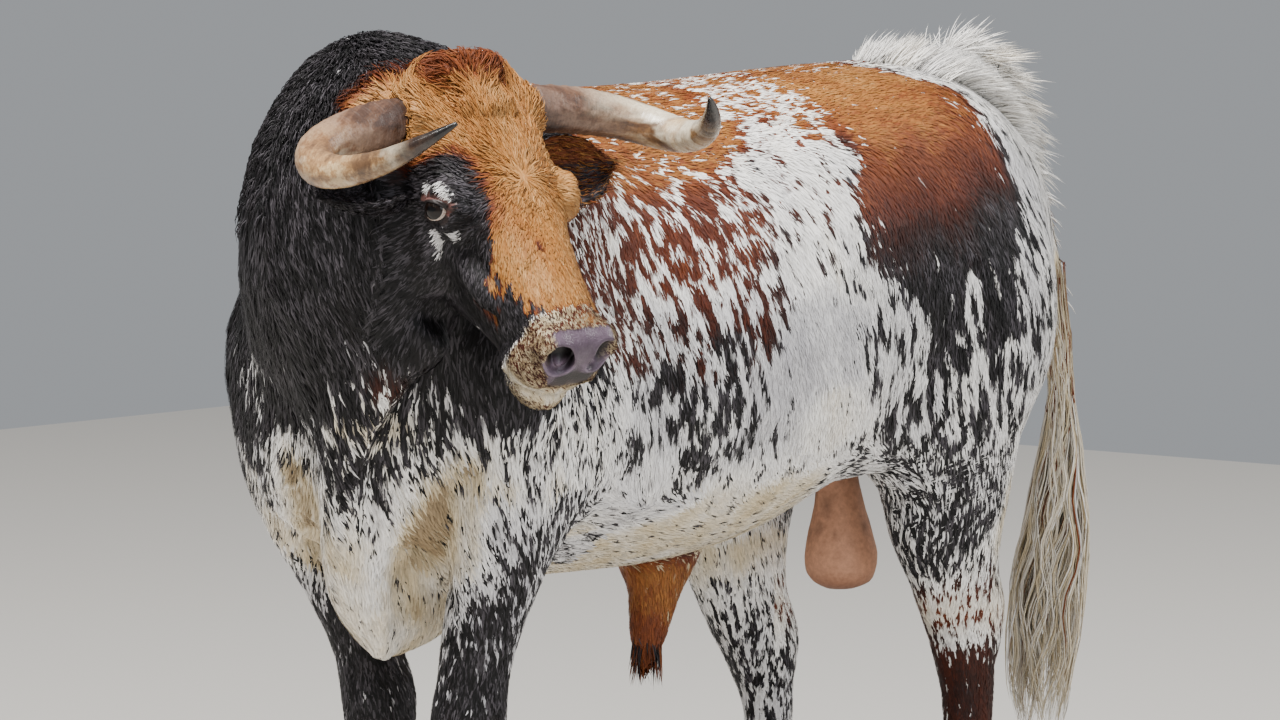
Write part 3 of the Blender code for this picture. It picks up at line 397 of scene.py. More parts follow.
def sculpt(obj):
    points = meshPoints(obj)
    normals = meshNormals(obj)
    move = np.zeros(len(points))
    for side in (1, -1):
        grooves = [
            (
                bodyLine(
                    side,
                    (0.24, 0.175, 1.29),
                    (0.288, 0.141, 1.224),
                    (0.333, 0.081, 1.133),
                    (0.357, 0.035, 1.04),
                    (0.355, 0.03, 0.95),
                ),
                0.017,
                -0.015,
            ),
            (bodyLine(side, (0.27, 0.205, 1.25), (0.31, 0.165, 1.15), (0.34, 0.125, 1.04)), 0.030, 0.008),
            (
                bodyLine(
                    side, (0.24, 0.30, 1.27), (0.30, 0.26, 1.12), (0.31, 0.235, 0.98), (0.26, 0.24, 0.86)
                ),
                0.040,
                -0.010,
            ),
            (bodyLine(side, (0.22, 0.245, 0.83), (0.24, 0.20, 0.80), (0.25, 0.12, 0.765)), 0.018, 0.008),
            (bodyLine(side, (0.22, 0.215, 0.86), (0.25, 0.175, 0.84)), 0.028, -0.016),
            (
                bodyLine(
                    side,
                    (0.29, -0.345, 1.20),
                    (0.33, -0.325, 1.05),
                    (0.33, -0.335, 0.90),
                    (0.30, -0.38, 0.78),
                ),
                0.034,
                -0.013,
            ),
            (bodyLine(side, (0.30, -0.60, 1.08), (0.33, -0.53, 0.97), (0.33, -0.46, 0.90)), 0.030, -0.008),
            (bodyLine(side, (0.34, -0.44, 0.86), (0.33, -0.39, 0.78)), 0.035, 0.010),
            (
                bodyLine(
                    side, (0.20, 0.50, 1.24), (0.24, 0.52, 1.10), (0.24, 0.53, 0.95), (0.20, 0.53, 0.82)
                ),
                0.036,
                -0.007,
            ),
            (bodyLine(side, (0.10, 0.63, 1.16), (0.14, 0.635, 1.00), (0.15, 0.60, 0.85)), 0.030, -0.010),
            (bodyLine(side, (0.17, 0.555, 0.66), (0.18, 0.60, 0.56), (0.17, 0.60, 0.46)), 0.020, -0.006),
            (bodyLine(side, (0.13, -0.66, 0.79), (0.14, -0.655, 0.70), (0.12, -0.64, 0.60)), 0.024, -0.012),
            (bodyLine(side, (0.10, -0.69, 0.76), (0.09, -0.675, 0.64)), 0.014, 0.006),
            (bodyLine(side, (0.055, -0.70, 0.74), (0.05, -0.69, 0.60)), 0.015, -0.012),
        ]
        for k in range(6):
            y = -0.24 + 0.062 * k
            rib = bodyLine(
                side,
                (0.30, y, 1.22),
                (0.355, y + 0.045, 1.06),
                (0.36, y + 0.080, 0.93),
                (0.33, y + 0.095, 0.82),
            )
            grooves.append((rib, 0.017, -0.0026))
        for line, width, depth in grooves:
            move += strokeShare(points, line, width) * depth
        faceStrokes = [
            (
                headLine(
                    side,
                    (0.235, 0.118, -0.075),
                    (0.275, 0.100, -0.100),
                    (0.32, 0.087, -0.112),
                    (0.38, 0.074, -0.112),
                ),
                0.010,
                -0.0050,
            ),
            (
                headLine(side, (0.245, 0.112, -0.045), (0.29, 0.090, -0.060), (0.34, 0.073, -0.072)),
                0.008,
                -0.0035,
            ),
            (
                headLine(
                    side,
                    (0.16, 0.118, -0.030),
                    (0.185, 0.121, -0.016),
                    (0.22, 0.112, -0.014),
                    (0.245, 0.100, -0.022),
                ),
                0.010,
                0.0060,
            ),
            (
                headLine(side, (0.175, 0.126, -0.034), (0.20, 0.130, -0.026), (0.225, 0.122, -0.026)),
                0.005,
                -0.0028,
            ),
            (
                headLine(side, (0.245, 0.119, -0.093), (0.215, 0.127, -0.100), (0.185, 0.127, -0.092)),
                0.006,
                -0.0035,
            ),
            (
                headLine(side, (0.270, 0.106, -0.118), (0.235, 0.114, -0.124), (0.20, 0.118, -0.120)),
                0.006,
                -0.0022,
            ),
            (
                headLine(
                    side,
                    (0.30, 0.080, -0.150),
                    (0.25, 0.090, -0.160),
                    (0.19, 0.098, -0.150),
                    (0.14, 0.105, -0.120),
                ),
                0.014,
                -0.0045,
            ),
            (
                headLine(
                    side,
                    (0.36, 0.066, -0.170),
                    (0.30, 0.070, -0.205),
                    (0.24, 0.072, -0.235),
                    (0.17, 0.075, -0.255),
                ),
                0.012,
                -0.0050,
            ),
            (
                headLine(side, (0.455, 0.062, -0.060), (0.440, 0.066, -0.085), (0.430, 0.069, -0.115)),
                0.008,
                -0.0040,
            ),
            (
                headLine(side, (0.470, 0.062, -0.070), (0.462, 0.069, -0.100), (0.470, 0.066, -0.125)),
                0.011,
                0.0035,
            ),
            (
                headLine(side, (0.37, 0.045, -0.012), (0.42, 0.045, -0.018), (0.455, 0.042, -0.024)),
                0.010,
                -0.0035,
            ),
            (
                headLine(side, (0.33, 0.062, -0.040), (0.37, 0.060, -0.052), (0.41, 0.062, -0.062)),
                0.007,
                0.0022,
            ),
        ]
        for line, width, depth in faceStrokes:
            move += strokeShare(points, line, width) * depth
    chest = [
        (
            (
                (0.084, -0.817, 0.939),
                (0.109, -0.77, 0.86),
                (0.107, -0.713, 0.776),
                (0.091, -0.699, 0.743),
                (0.050, -0.682, 0.638),
                (0.019, -0.624, 0.529),
            ),
            0.017,
            0.022,
        ),
        (
            (
                (0.135, -0.700, 0.775),
                (0.090, -0.655, 0.705),
                (0.074, -0.632, 0.655),
                (0.064, -0.620, 0.590),
            ),
            0.016,
            -0.022,
        ),
        (
            (
                (-0.092, -0.716, 0.805),
                (-0.084, -0.702, 0.757),
                (-0.125, -0.64, 0.70),
                (-0.157, -0.578, 0.652),
            ),
            0.028,
            -0.036,
        ),
        (
            ((0.238, -0.663, 0.828), (0.197, -0.673, 0.779), (0.150, -0.65, 0.72), (0.097, -0.612, 0.673)),
            0.029,
            -0.040,
        ),
        (
            ((-0.050, -0.75, 0.87), (-0.040, -0.73, 0.79), (0.00, -0.71, 0.72), (0.03, -0.690, 0.655)),
            0.014,
            0.012,
        ),
        (((0.045, -0.76, 0.86), (0.045, -0.70, 0.73)), 0.014, -0.010),
        (((0.169, -0.633, 0.617), (0.155, -0.640, 0.68), (0.20, -0.650, 0.73)), 0.014, -0.012),
        (((-0.185, -0.645, 0.80), (-0.214, -0.629, 0.726), (-0.22, -0.61, 0.66)), 0.024, 0.012),
        (((0.27, -0.645, 0.81), (0.25, -0.632, 0.724), (0.20, -0.63, 0.64)), 0.026, 0.013),
        (((0.28, -0.64, 0.90), (0.315, -0.60, 0.82), (0.32, -0.57, 0.74)), 0.022, -0.009),
    ]
    for places, width, depth in chest:
        line = [array(out - 0.14266, y, z) + shift for out, y, z in places]
        move += strokeShare(points, line, width) * depth
    move += strokeShare(points, [onHead(0.17, 0, 0.01), onHead(0.30, 0, 0.0)], 0.022) * -0.004
    move += (
        strokeShare(
            points, [onHead(0.485, 0, -0.045), onHead(0.505, 0, -0.09), onHead(0.513, 0, -0.13)], 0.004
        )
        * -0.0035
    )
    low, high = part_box("scrotum")
    sack = (points[:, 2] < high[2] - 0.02) & (points[:, 2] > low[2] - 0.03)
    sack &= (np.abs(points[:, 0] - midX) < 0.085) & (np.abs(points[:, 1] - 0.553 - shift[1]) < 0.10)
    folds = waves(points * array(1, 1, 2.6), 0.010, 41) + 0.6 * waves(points * array(1, 1, 2.2), 0.005, 42)
    move += sack * folds * 0.0011
    lips = [onHead(u, v, w) for u, v, w in mouthLine]
    upperLip = [onHead(u - 0.006, v * 1.02, w + 0.013) for u, v, w in mouthLine]
    lowerLip = [onHead(u - 0.006, v * 0.97, w - 0.012) for u, v, w in mouthLine]
    move += strokeShare(points, upperLip, 0.009) * 0.0045
    move += strokeShare(points, lowerLip, 0.008) * 0.0035
    move += strokeShare(points, lips, 0.0034) * -0.0085
    setPoints(obj, points + normals * move[:, None])


def carveNostrils(obj):
    points = meshPoints(obj)
    for side in (-1, 1):
        out = unit(array(0.80, side * 0.60, 0.0) @ headAxes)
        up = unit(outFace - out * (outFace @ out))
        across = np.cross(up, out)
        rel = points - onHead(0.511, side * 0.040, -0.055)
        x, y, depth = rel @ across * side, rel @ up, rel @ out
        near = np.linalg.norm(rel, axis=1) < 0.05
        pit = ((x - 0.25 * y) / 0.0225) ** 2 + (y / 0.0260) ** 2
        flap = np.exp(-(((x + 0.004) / 0.0135) ** 2) - ((y + 0.0155) / 0.0100) ** 2)
        sink = (1 - smoothStep(pit, 0.50, 1.10)) * (0.027 - 0.020 * flap)
        rim = np.exp(-(((np.sqrt(pit) - 1.18) / 0.15) ** 2)) * 0.0040
        push = (rim - sink) * near * (depth > -0.05)
        points = points + out * push[:, None]
    setPoints(obj, points)


# Opens an almond over each eye, with a rim that hugs the eyeball, and a fold above.
def shapeLids(obj):
    points = meshPoints(obj)
    for side in (-1, 1):
        rows, middle = eyeAxes(side)
        rel = points - middle
        x, y, z = rel @ rows[0], rel @ rows[1], rel @ rows[2]
        near = (np.linalg.norm(rel, axis=1) < 0.050) & (z > 0.002)
        halfLong = np.where(x > 0, 0.0285, 0.0255)
        along = np.clip(np.abs(x) / halfLong, 0, 1.6)
        profile = np.sqrt(np.clip(1 - along**2, 0, 1)) ** 0.9
        level = -0.0012 * x / 0.02
        upper, lower = level + 0.0125 * profile, level - 0.0165 * profile
        beyond = np.where(y > upper, y - upper, np.where(y < lower, lower - y, 0))
        beside = np.maximum(0, np.abs(x) - halfLong)
        gap = np.hypot(beyond, beside)
        inside = (gap < 1e-6) & near
        radius = np.linalg.norm(rel, axis=1)
        wanted = radius.copy()
        rimRadius = eyeRadius + np.where(y > upper, 0.0034, 0.0026)
        rimShare = 1 - smoothStep(gap, 0.0020, 0.0115)
        wanted = wanted + (rimRadius - wanted) * rimShare
        fold = np.exp(-(((gap - 0.0085) / 0.0020) ** 2)) * (y > upper) * 0.0024
        wanted = wanted - fold
        puff = np.exp(-(((gap - 0.0150) / 0.0050) ** 2)) * np.where(y > upper, 0.0026, 0.0012)
        wanted = wanted + puff
        wanted = np.where(inside, eyeRadius - 0.0045, wanted)
        scale = np.where(near, wanted / np.maximum(radius, 1e-6), 1.0)
        points = middle + rel * scale[:, None]
    setPoints(obj, points)


sculpt(skin)
carveNostrils(skin)
smoothOut(skin, 1)
shapeLids(skin)
print("  sculpted")


# The ear's own shell, thinner and finer than the CAD one.
def buildEar(side):
    name = "ear_left" if side > 0 else "ear_right"
    ear = copyOfNode(name)
    remesh = ear.modifiers.new("fuse", "REMESH")
    remesh.mode = "VOXEL"
    remesh.voxel_size = 0.0026
    applyAll(ear)
    smoothOut(ear, 5)
    collapse = ear.modifiers.new("thin", "DECIMATE")
    collapse.ratio = 7000 / (2 * len(ear.data.polygons))
    applyAll(ear)
    return ear


ears = [buildEar(1), buildEar(-1)]
skinCount = len(skin.data.vertices)
earCounts = [len(ear.data.vertices) for ear in ears]
skin = joined([skin] + ears, "hide")
skin.data.materials.clear()
activate(skin)
bpy.ops.object.shade_smooth()
part = np.zeros(len(skin.data.vertices), int)
part[skinCount : skinCount + earCounts[0]] = 1
part[skinCount + earCounts[0] :] = 2
print("  hide triangles", sum(len(p.vertices) - 2 for p in skin.data.polygons))

print("eyes, horns and hooves")


# A wet eye: almost black iris and pupil under a clear cornea, and a little veined white at the corner.
def eyeMaterial():
    material, tree, shader = newMaterial("eye surface")
    place = addNode(tree, "Attribute", attribute_name="eyePlace", give="Vector")
    parts = addNode(tree, "SeparateXYZ", {0: place}, "all")
    side = addNode(tree, "Math", {0: parts[0], 1: 0.0030}, operation="ADD")
    rise = addNode(tree, "Math", {0: parts[1], 1: 0.0032}, operation="SUBTRACT")
    radial = addNode(
        tree,
        "Math",
        {
            0: addNode(
                tree,
                "Math",
                {
                    0: addNode(tree, "Math", {0: side, 1: 2.0}, operation="POWER"),
                    1: addNode(tree, "Math", {0: rise, 1: 2.0}, operation="POWER"),
                },
                operation="ADD",
            )
        },
        operation="SQRT",
    )
    wide = addNode(
        tree,
        "Math",
        {0: addNode(tree, "Math", {0: side, 1: 0.0075}, operation="DIVIDE"), 1: 2.0},
        operation="POWER",
    )
    tall = addNode(
        tree,
        "Math",
        {0: addNode(tree, "Math", {0: rise, 1: 0.0046}, operation="DIVIDE"), 1: 2.0},
        operation="POWER",
    )
    pupil = addNode(
        tree, "MapRange", {0: addNode(tree, "Math", {0: wide, 1: tall}, operation="ADD"), 1: 0.85, 2: 1.15}
    )
    fibres = addNode(tree, "TexNoise", {"Vector": place, "Scale": 900.0, "Detail": 3.0})
    iris = addNode(
        tree,
        "ValToRGB",
        {0: fibres},
        stops=[(0.3, linear("080403")), (0.6, linear("120905")), (0.85, linear("1f1009"))],
    )
    iris = addNode(tree, "Mix", {0: pupil, 6: linear("020203"), 7: iris}, 2, data_type="RGBA")
    veins = addNode(tree, "TexNoise", {"Vector": place, "Scale": 420.0, "Detail": 5.0, "Distortion": 1.5})
    white = addNode(
        tree,
        "ValToRGB",
        {0: veins},
        stops=[(0.38, linear("8d5a4c")), (0.47, linear("c9b7a8")), (0.7, linear("ddd5cb"))],
    )
    edge = addNode(tree, "MapRange", {0: radial, 1: 0.0163, 2: 0.0176})
    outer = addNode(tree, "MapRange", {0: radial, 1: 0.0215, 2: 0.0245})
    white = addNode(tree, "Mix", {0: outer, 6: white, 7: linear("6b4a42")}, 2, data_type="RGBA")
    lean = addNode(
        tree,
        "Math",
        {
            0: addNode(tree, "Math", {0: parts[0], 1: 0.62}, operation="MULTIPLY"),
            1: addNode(tree, "Math", {0: parts[1], 1: 0.78}, operation="MULTIPLY"),
        },
        operation="SUBTRACT",
    )
    shown = addNode(tree, "MapRange", {0: lean, 1: -0.002, 2: 0.004})
    white = addNode(tree, "Mix", {0: shown, 6: linear("1f1412"), 7: white}, 2, data_type="RGBA")
    tree.links.new(
        addNode(tree, "Mix", {0: edge, 6: iris, 7: white}, 2, data_type="RGBA"), shader.inputs["Base Color"]
    )
    shader.inputs["Roughness"].default_value = 0.28
    shader.inputs["Specular IOR Level"].default_value = 0.2
    shader.inputs["Coat Weight"].default_value = 0.4
    shader.inputs["Coat Roughness"].default_value = 0.03
    shader.inputs["Coat IOR"].default_value = 1.376
    return material


def buildEye(side, material):
    name = "eyeLeft" if side > 0 else "eyeRight"
    bpy.ops.mesh.primitive_uv_sphere_add(segments=64, ring_count=48, radius=eyeRadius)
    eye = bpy.context.object
    eye.name = name
    local = meshPoints(eye)
    radial = np.hypot(local[:, 0], local[:, 1])
    bulge = 0.0011 * (1 - smoothStep(radial, 0.010, 0.0185)) * (local[:, 2] > 0)
    shaped = local * (1 + bulge / eyeRadius)[:, None]
    rows, middle = eyeAxes(side)
    attribute = eye.data.attributes.new("eyePlace", "FLOAT_VECTOR", "POINT")
    attribute.data.foreach_set("vector", local.astype(np.float32).ravel())
    setPoints(eye, middle + shaped @ rows)
    if np.linalg.det(rows) < 0:
        eye.data.flip_normals()
    activate(eye)
    bpy.ops.object.shade_smooth()
    eye.data.materials.append(material)
    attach(eye, "root")
    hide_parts("eye_left" if side > 0 else "eye_right")


eyeSurface = eyeMaterial()
for side in (1, -1):
    buildEye(side, eyeSurface)


# Horn keratin, grown in rings and rubbed: brown and dull at the base, waxy in the middle, black at the tip.
def hornMaterial():
    material, tree, shader = newMaterial("horn keratin")
    place = addNode(tree, "TexCoord", give="Object")
    along = addNode(tree, "Attribute", attribute_name="along", give="Fac")
    fine = addNode(tree, "TexNoise", {"Vector": place, "Scale": 60.0, "Detail": 6.0, "Roughness": 0.6})
    shifted = addNode(
        tree,
        "Math",
        {
            0: along,
            1: addNode(
                tree,
                "Math",
                {0: addNode(tree, "Math", {0: fine, 1: 0.5}, operation="SUBTRACT"), 1: 0.12},
                operation="MULTIPLY",
            ),
        },
        operation="ADD",
    )
    color = addNode(tree, "ValToRGB", {0: shifted}, stops=[
            (0.04, linear("4a362d")),
            (0.15, linear("6e5445")),
            (0.28, linear("876b56")),
            (0.42, linear("a08262")),
            (0.58, linear("c9ad83")),
            (0.76, linear("9c8463")),
            (0.86, linear("4a3d35")),
            (0.94, linear("141110")),
        ])
    streaks = addNode(tree, "TexNoise", {"Vector": place, "Scale": 210.0, "Detail": 8.0, "Roughness": 0.7})
    stain = addNode(tree, "ValToRGB", {0: streaks}, stops=[(0.3, linear("8a8078")), (0.55, linear("ffffff"))])
    lengthwise = addNode(tree, "Attribute", attribute_name="grain", give="Vector")
    blotch = addNode(
        tree, "TexNoise", {"Vector": lengthwise, "Scale": 26.0, "Detail": 5.0, "Roughness": 0.65}
    )
    smear = addNode(
        tree,
        "ValToRGB",
        {0: blotch},
        stops=[(0.40, linear("6f5144")), (0.49, linear("c4ab95")), (0.57, linear("ffffff"))],
    )
    color = addNode(tree, "Mix", {0: 0.85, 6: color, 7: smear}, 2, data_type="RGBA", blend_type="MULTIPLY")
    patch = addNode(tree, "TexNoise", {"Vector": lengthwise, "Scale": 11.0, "Detail": 4.0, "Roughness": 0.6})
    middle = addNode(tree, "MapRange", {0: along, 1: 0.20, 2: 0.45})
    creamShare = addNode(tree, "MapRange", {0: patch, 1: 0.50, 2: 0.60})
    tipFade = addNode(tree, "MapRange", {0: along, 1: 0.72, 2: 0.86, 3: 1.0, 4: 0.0})
    creamShare = addNode(
        tree,
        "Math",
        {0: addNode(tree, "Math", {0: creamShare, 1: middle}, operation="MULTIPLY"), 1: tipFade},
        operation="MULTIPLY",
    )
    color = addNode(
        tree,
        "Mix",
        {
            0: addNode(tree, "Math", {0: creamShare, 1: 0.8}, operation="MULTIPLY"),
            6: color,
            7: linear("eadfc6"),
        },
        2,
        data_type="RGBA",
    )
    tree.links.new(
        addNode(tree, "Mix", {0: 0.55, 6: color, 7: stain}, 2, data_type="RGBA", blend_type="MULTIPLY"),
        shader.inputs["Base Color"],
    )
    rough = addNode(tree, "MapRange", {0: along, 1: 0.0, 2: 0.6, 3: 0.58, 4: 0.26})
    tree.links.new(rough, shader.inputs["Roughness"])
    shader.inputs["IOR"].default_value = 1.54
    rings = addNode(
        tree,
        "TexWave",
        {"Vector": addNode(tree, "CombineXYZ", {0: along}), "Scale": 30.0, "Distortion": 0.0},
        give="Fac",
    )
    strength = addNode(tree, "MapRange", {0: along, 1: 0.02, 2: 0.55, 3: 0.35, 4: 0.02})
    height = addNode(
        tree,
        "Math",
        {
            0: addNode(tree, "Math", {0: rings, 1: strength}, operation="MULTIPLY"),
            1: addNode(tree, "Math", {0: streaks, 1: 0.6}, operation="MULTIPLY"),
        },
        operation="ADD",
    )
    bump = addNode(tree, "Bump", {"Height": height, "Strength": 0.5, "Distance": 0.0016})
    tree.links.new(bump, shader.inputs["Normal"])
    return material


hornLine = [
    (0.090, -0.006, -0.068),
    (0.150, 0.003, -0.070),
    (0.225, 0.012, -0.080),
    (0.295, 0.032, -0.098),
    (0.332, 0.085, -0.118),
    (0.330, 0.150, -0.121),
    (0.307, 0.222, -0.104),
    (0.272, 0.280, -0.074),
    (0.238, 0.320, -0.046),
]


# How far along a line each point is, from 0 to 1.
def alongLine(points, line):
    best = np.full(len(points), 9.0)
    along = np.zeros(len(points))
    steps = np.linalg.norm(np.diff(line, axis=0), axis=1)
    starts = np.concatenate([[0], np.cumsum(steps)])
    for k in range(len(steps)):
        direction = line[k + 1] - line[k]
        share = np.clip((points - line[k]) @ direction / (direction @ direction), 0, 1)
        gap = np.linalg.norm(points - line[k] - share[:, None] * direction, axis=1)
        closer = gap < best
        best[closer] = gap[closer]
        along[closer] = (starts[k] + share * steps[k])[closer]
    return along / starts[-1]


def buildHorn(node, material):
    horn = copyOfNode(node)
    side = 1 if node.endswith("left") else -1
    horn.name = "hornLeft" if node.endswith("left") else "hornRight"
    divide = horn.modifiers.new("fine", "SUBSURF")
    divide.levels = 3
    applyAll(horn)
    points = meshPoints(horn)
    line = np.array([poll + headLeft * side * a + heading * b + headUp * c for a, b, c in hornLine])
    along = alongLine(points, line)
    ripple = np.sin(along * 150) * 0.0007 * (1 - smoothStep(along, 0.08, 0.5))
    rough = 0.0006 * np.sin(points[:, 0] * 410) * np.sin(points[:, 1] * 370) * np.sin(points[:, 2] * 390)
    setPoints(horn, points + meshNormals(horn) * (ripple + rough * (1 - along))[:, None])
    towards = unit(line[-4] - line[0])
    grain = points - np.outer(points @ towards, towards)
    setVector(horn, "grain", grain + np.outer(along * 0.10, towards))
    attribute = horn.data.attributes.new("along", "FLOAT", "POINT")
    attribute.data.foreach_set("value", along.astype(np.float32))
    activate(horn)
    bpy.ops.object.shade_smooth()
    horn.data.materials.clear()
    horn.data.materials.append(material)
    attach(horn, "root")
    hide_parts(node)


hornKeratin = hornMaterial()
for node in ("horn_left", "horn_right"):
    buildHorn(node, hornKeratin)


# Hoof keratin: dark, ringed across and finely fibred downwards, with a paler band under the hair.
def hoofMaterial():
    material, tree, shader = newMaterial("hoof keratin")
    place = addNode(tree, "TexCoord", give="Object")
    height = addNode(tree, "SeparateXYZ", {0: place}, give=2)
    wobble = addNode(tree, "TexNoise", {"Vector": place, "Scale": 25.0, "Detail": 3.0})
    level = addNode(
        tree,
        "Math",
        {0: height, 1: addNode(tree, "Math", {0: wobble, 1: 0.030}, operation="MULTIPLY")},
        operation="ADD",
    )
    rings = addNode(
        tree, "TexNoise", {"Vector": addNode(tree, "CombineXYZ", {0: level}), "Scale": 190.0, "Detail": 2.0}
    )
    upright = addNode(tree, "VectorMath", {0: place, 1: (1.0, 1.0, 0.10)}, operation="MULTIPLY")
    fibre = addNode(tree, "TexNoise", {"Vector": upright, "Scale": 420.0, "Detail": 3.0})
    grain = addNode(tree, "TexNoise", {"Vector": place, "Scale": 120.0, "Detail": 6.0, "Roughness": 0.65})
    mixed = addNode(
        tree,
        "Math",
        {
            0: addNode(tree, "Math", {0: rings, 1: 0.40}, operation="MULTIPLY"),
            1: addNode(tree, "Math", {0: fibre, 1: 0.30}, operation="MULTIPLY"),
        },
        operation="ADD",
    )
    mixed = addNode(
        tree,
        "Math",
        {0: mixed, 1: addNode(tree, "Math", {0: grain, 1: 0.30}, operation="MULTIPLY")},
        operation="ADD",
    )
    color = addNode(
        tree,
        "ValToRGB",
        {0: mixed},
        stops=[(0.36, linear("1d1a18")), (0.50, linear("393330")), (0.64, linear("6a5f54"))],
    )
    band = addNode(tree, "MapRange", {0: level, 1: 0.062, 2: 0.085, 3: 0.0, 4: 0.6})
    color = addNode(tree, "Mix", {0: band, 6: color, 7: linear("8a7a68")}, 2, data_type="RGBA")
    tree.links.new(color, shader.inputs["Base Color"])
    shader.inputs["Roughness"].default_value = 0.46
    shader.inputs["IOR"].default_value = 1.54
    bump = addNode(tree, "Bump", {"Height": mixed, "Strength": 0.5, "Distance": 0.0010})
    tree.links.new(bump, shader.inputs["Normal"])
    return material


def buildHoof(node, material):
    hoof = copyOfNode(node)
    words = node.split("_")
    hoof.name = "claw" + "".join(word.capitalize() for word in words[1:])
    divide = hoof.modifiers.new("fine", "SUBSURF")
    divide.subdivision_type = "SIMPLE"
    divide.levels = 3
    applyAll(hoof)
    smoothOut(hoof, 6)
    points = meshPoints(hoof)
    low = points[:, 2] < 0.0035
    points[low, 2] = np.maximum(points[low, 2] - 0.0012, 0.0004)
    setPoints(hoof, points)
    activate(hoof)
    bpy.ops.object.shade_smooth_by_angle(angle=math.radians(50))
    hoof.data.materials.clear()
    hoof.data.materials.append(material)
    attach(hoof, "root")
    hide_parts(node)


hoofKeratin = hoofMaterial()
for node in sorted(frame["nodes"]):
    if node.startswith("hoof_"):
        buildHoof(node, hoofKeratin)

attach(skin, "root")
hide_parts(*fleshNodes, "ear_left", "ear_right")

print("markings")
earAxes = []
for number, side in ((1, 1), (2, -1)):
    own = meshPoints(skin)[part == number]
    base = own[np.argsort(np.linalg.norm(own - onHead(0.05, side * 0.10, -0.10), axis=1))[:80]].mean(axis=0)
    far = own[np.argmax(np.linalg.norm(own - base, axis=1))]
    earAxes.append((base, unit(far - base)))


# One row a patch on the flank: y, z, their reaches, share of white hair, tone of the dark hair
# (0 tan, 0.5 red-brown, 1 black) and tone of the white hair (0 grey, 0.5 white, 1 beige).
flankPatchesAndShade = [
    # Painted shade: the grey white tone of this row and the next stands for shade low on the flank.
    (-0.16, 0.92, 0.22, 0.13, 0.58, 1.00, 0.22),
    (-0.30, 0.78, 0.16, 0.07, 0.86, 1.00, 0.35),
    (-0.20, 1.04, 0.27, 0.09, 0.50, 0.66, 0.34),
    (-0.24, 1.19, 0.28, 0.13, 0.31, 0.48, 0.50),
    (-0.42, 1.13, 0.11, 0.16, 0.32, 0.52, 0.50),
    (-0.22, 1.34, 0.34, 0.10, 0.12, 0.20, 0.60),
    (0.15, 1.35, 0.15, 0.07, 0.46, 0.22, 0.55),
    (-0.42, 1.43, 0.14, 0.04, 0.85, 0.50, 0.70),
    (0.10, 1.24, 0.11, 0.10, 0.88, 0.60, 0.50),
    (0.07, 1.11, 0.09, 0.10, 0.84, 0.75, 0.50),
    # Painted shade: grey white tone low on the flank.
    (0.10, 0.94, 0.17, 0.16, 0.93, 1.00, 0.22),
    (0.13, 0.86, 0.12, 0.07, 0.96, 0.80, 0.58),
    (0.28, 0.97, 0.10, 0.10, 0.55, 0.97, 0.40),
    (0.67, 1.05, 0.07, 0.26, 0.50, 1.00, 0.35),
    (0.41, 0.76, 0.23, 0.16, 0.60, 1.00, 0.40),
    (0.58, 0.77, 0.08, 0.17, 0.40, 1.00, 0.40),
    (0.44, 0.82, 0.10, 0.09, 0.40, 1.00, 0.40),
    (-0.20, 0.89, 0.085, 0.045, 0.26, 1.00, 0.40),
    (-0.19, 0.82, 0.055, 0.045, 0.34, 1.00, 0.40),
    (-0.225, 0.775, 0.035, 0.025, 0.36, 1.00, 0.40),
    (-0.376, 0.853, 0.035, 0.045, 0.34, 1.00, 0.40),
    (-0.153, 0.997, 0.05, 0.04, 0.36, 0.90, 0.40),
    (-0.30, 0.95, 0.05, 0.04, 0.40, 0.92, 0.40),
]


def patchWeight(y, z, patch, wobble):
    reach = np.hypot((y - patch[0]) / patch[2], (z - patch[1]) / patch[3])
    return 1 - smoothStep(reach + wobble, 0.72, 1.12)


def blendInto(marks, weight, values):
    for column, value in enumerate(values):
        marks[:, column] += (value - marks[:, column]) * weight


blazeU = [
    -0.06,
    0.06,
    0.118,
    0.133,
    0.142,
    0.154,
    0.173,
    0.193,
    0.215,
    0.241,
    0.265,
    0.287,
    0.305,
    0.322,
    0.343,
    0.363,
    0.388,
    0.411,
    0.434,
    0.450,
    0.50,
]
blazeV = [
    -0.20,
    -0.20,
    -0.119,
    -0.116,
    -0.100,
    -0.079,
    -0.059,
    -0.054,
    -0.052,
    -0.056,
    -0.063,
    -0.068,
    -0.073,
    -0.075,
    -0.074,
    -0.070,
    -0.062,
    -0.054,
    -0.042,
    -0.036,
    -0.03,
]


# How low the black of the neck comes at each distance from the middle of the chest.
bibOut = [-0.30, -0.235, -0.16, -0.12, -0.02, 0.04, 0.095, 0.15, 0.22, 0.30]
bibHigh = [0.72, 0.75, 0.80, 0.86, 0.85, 0.80, 0.775, 0.82, 0.86, 0.90]
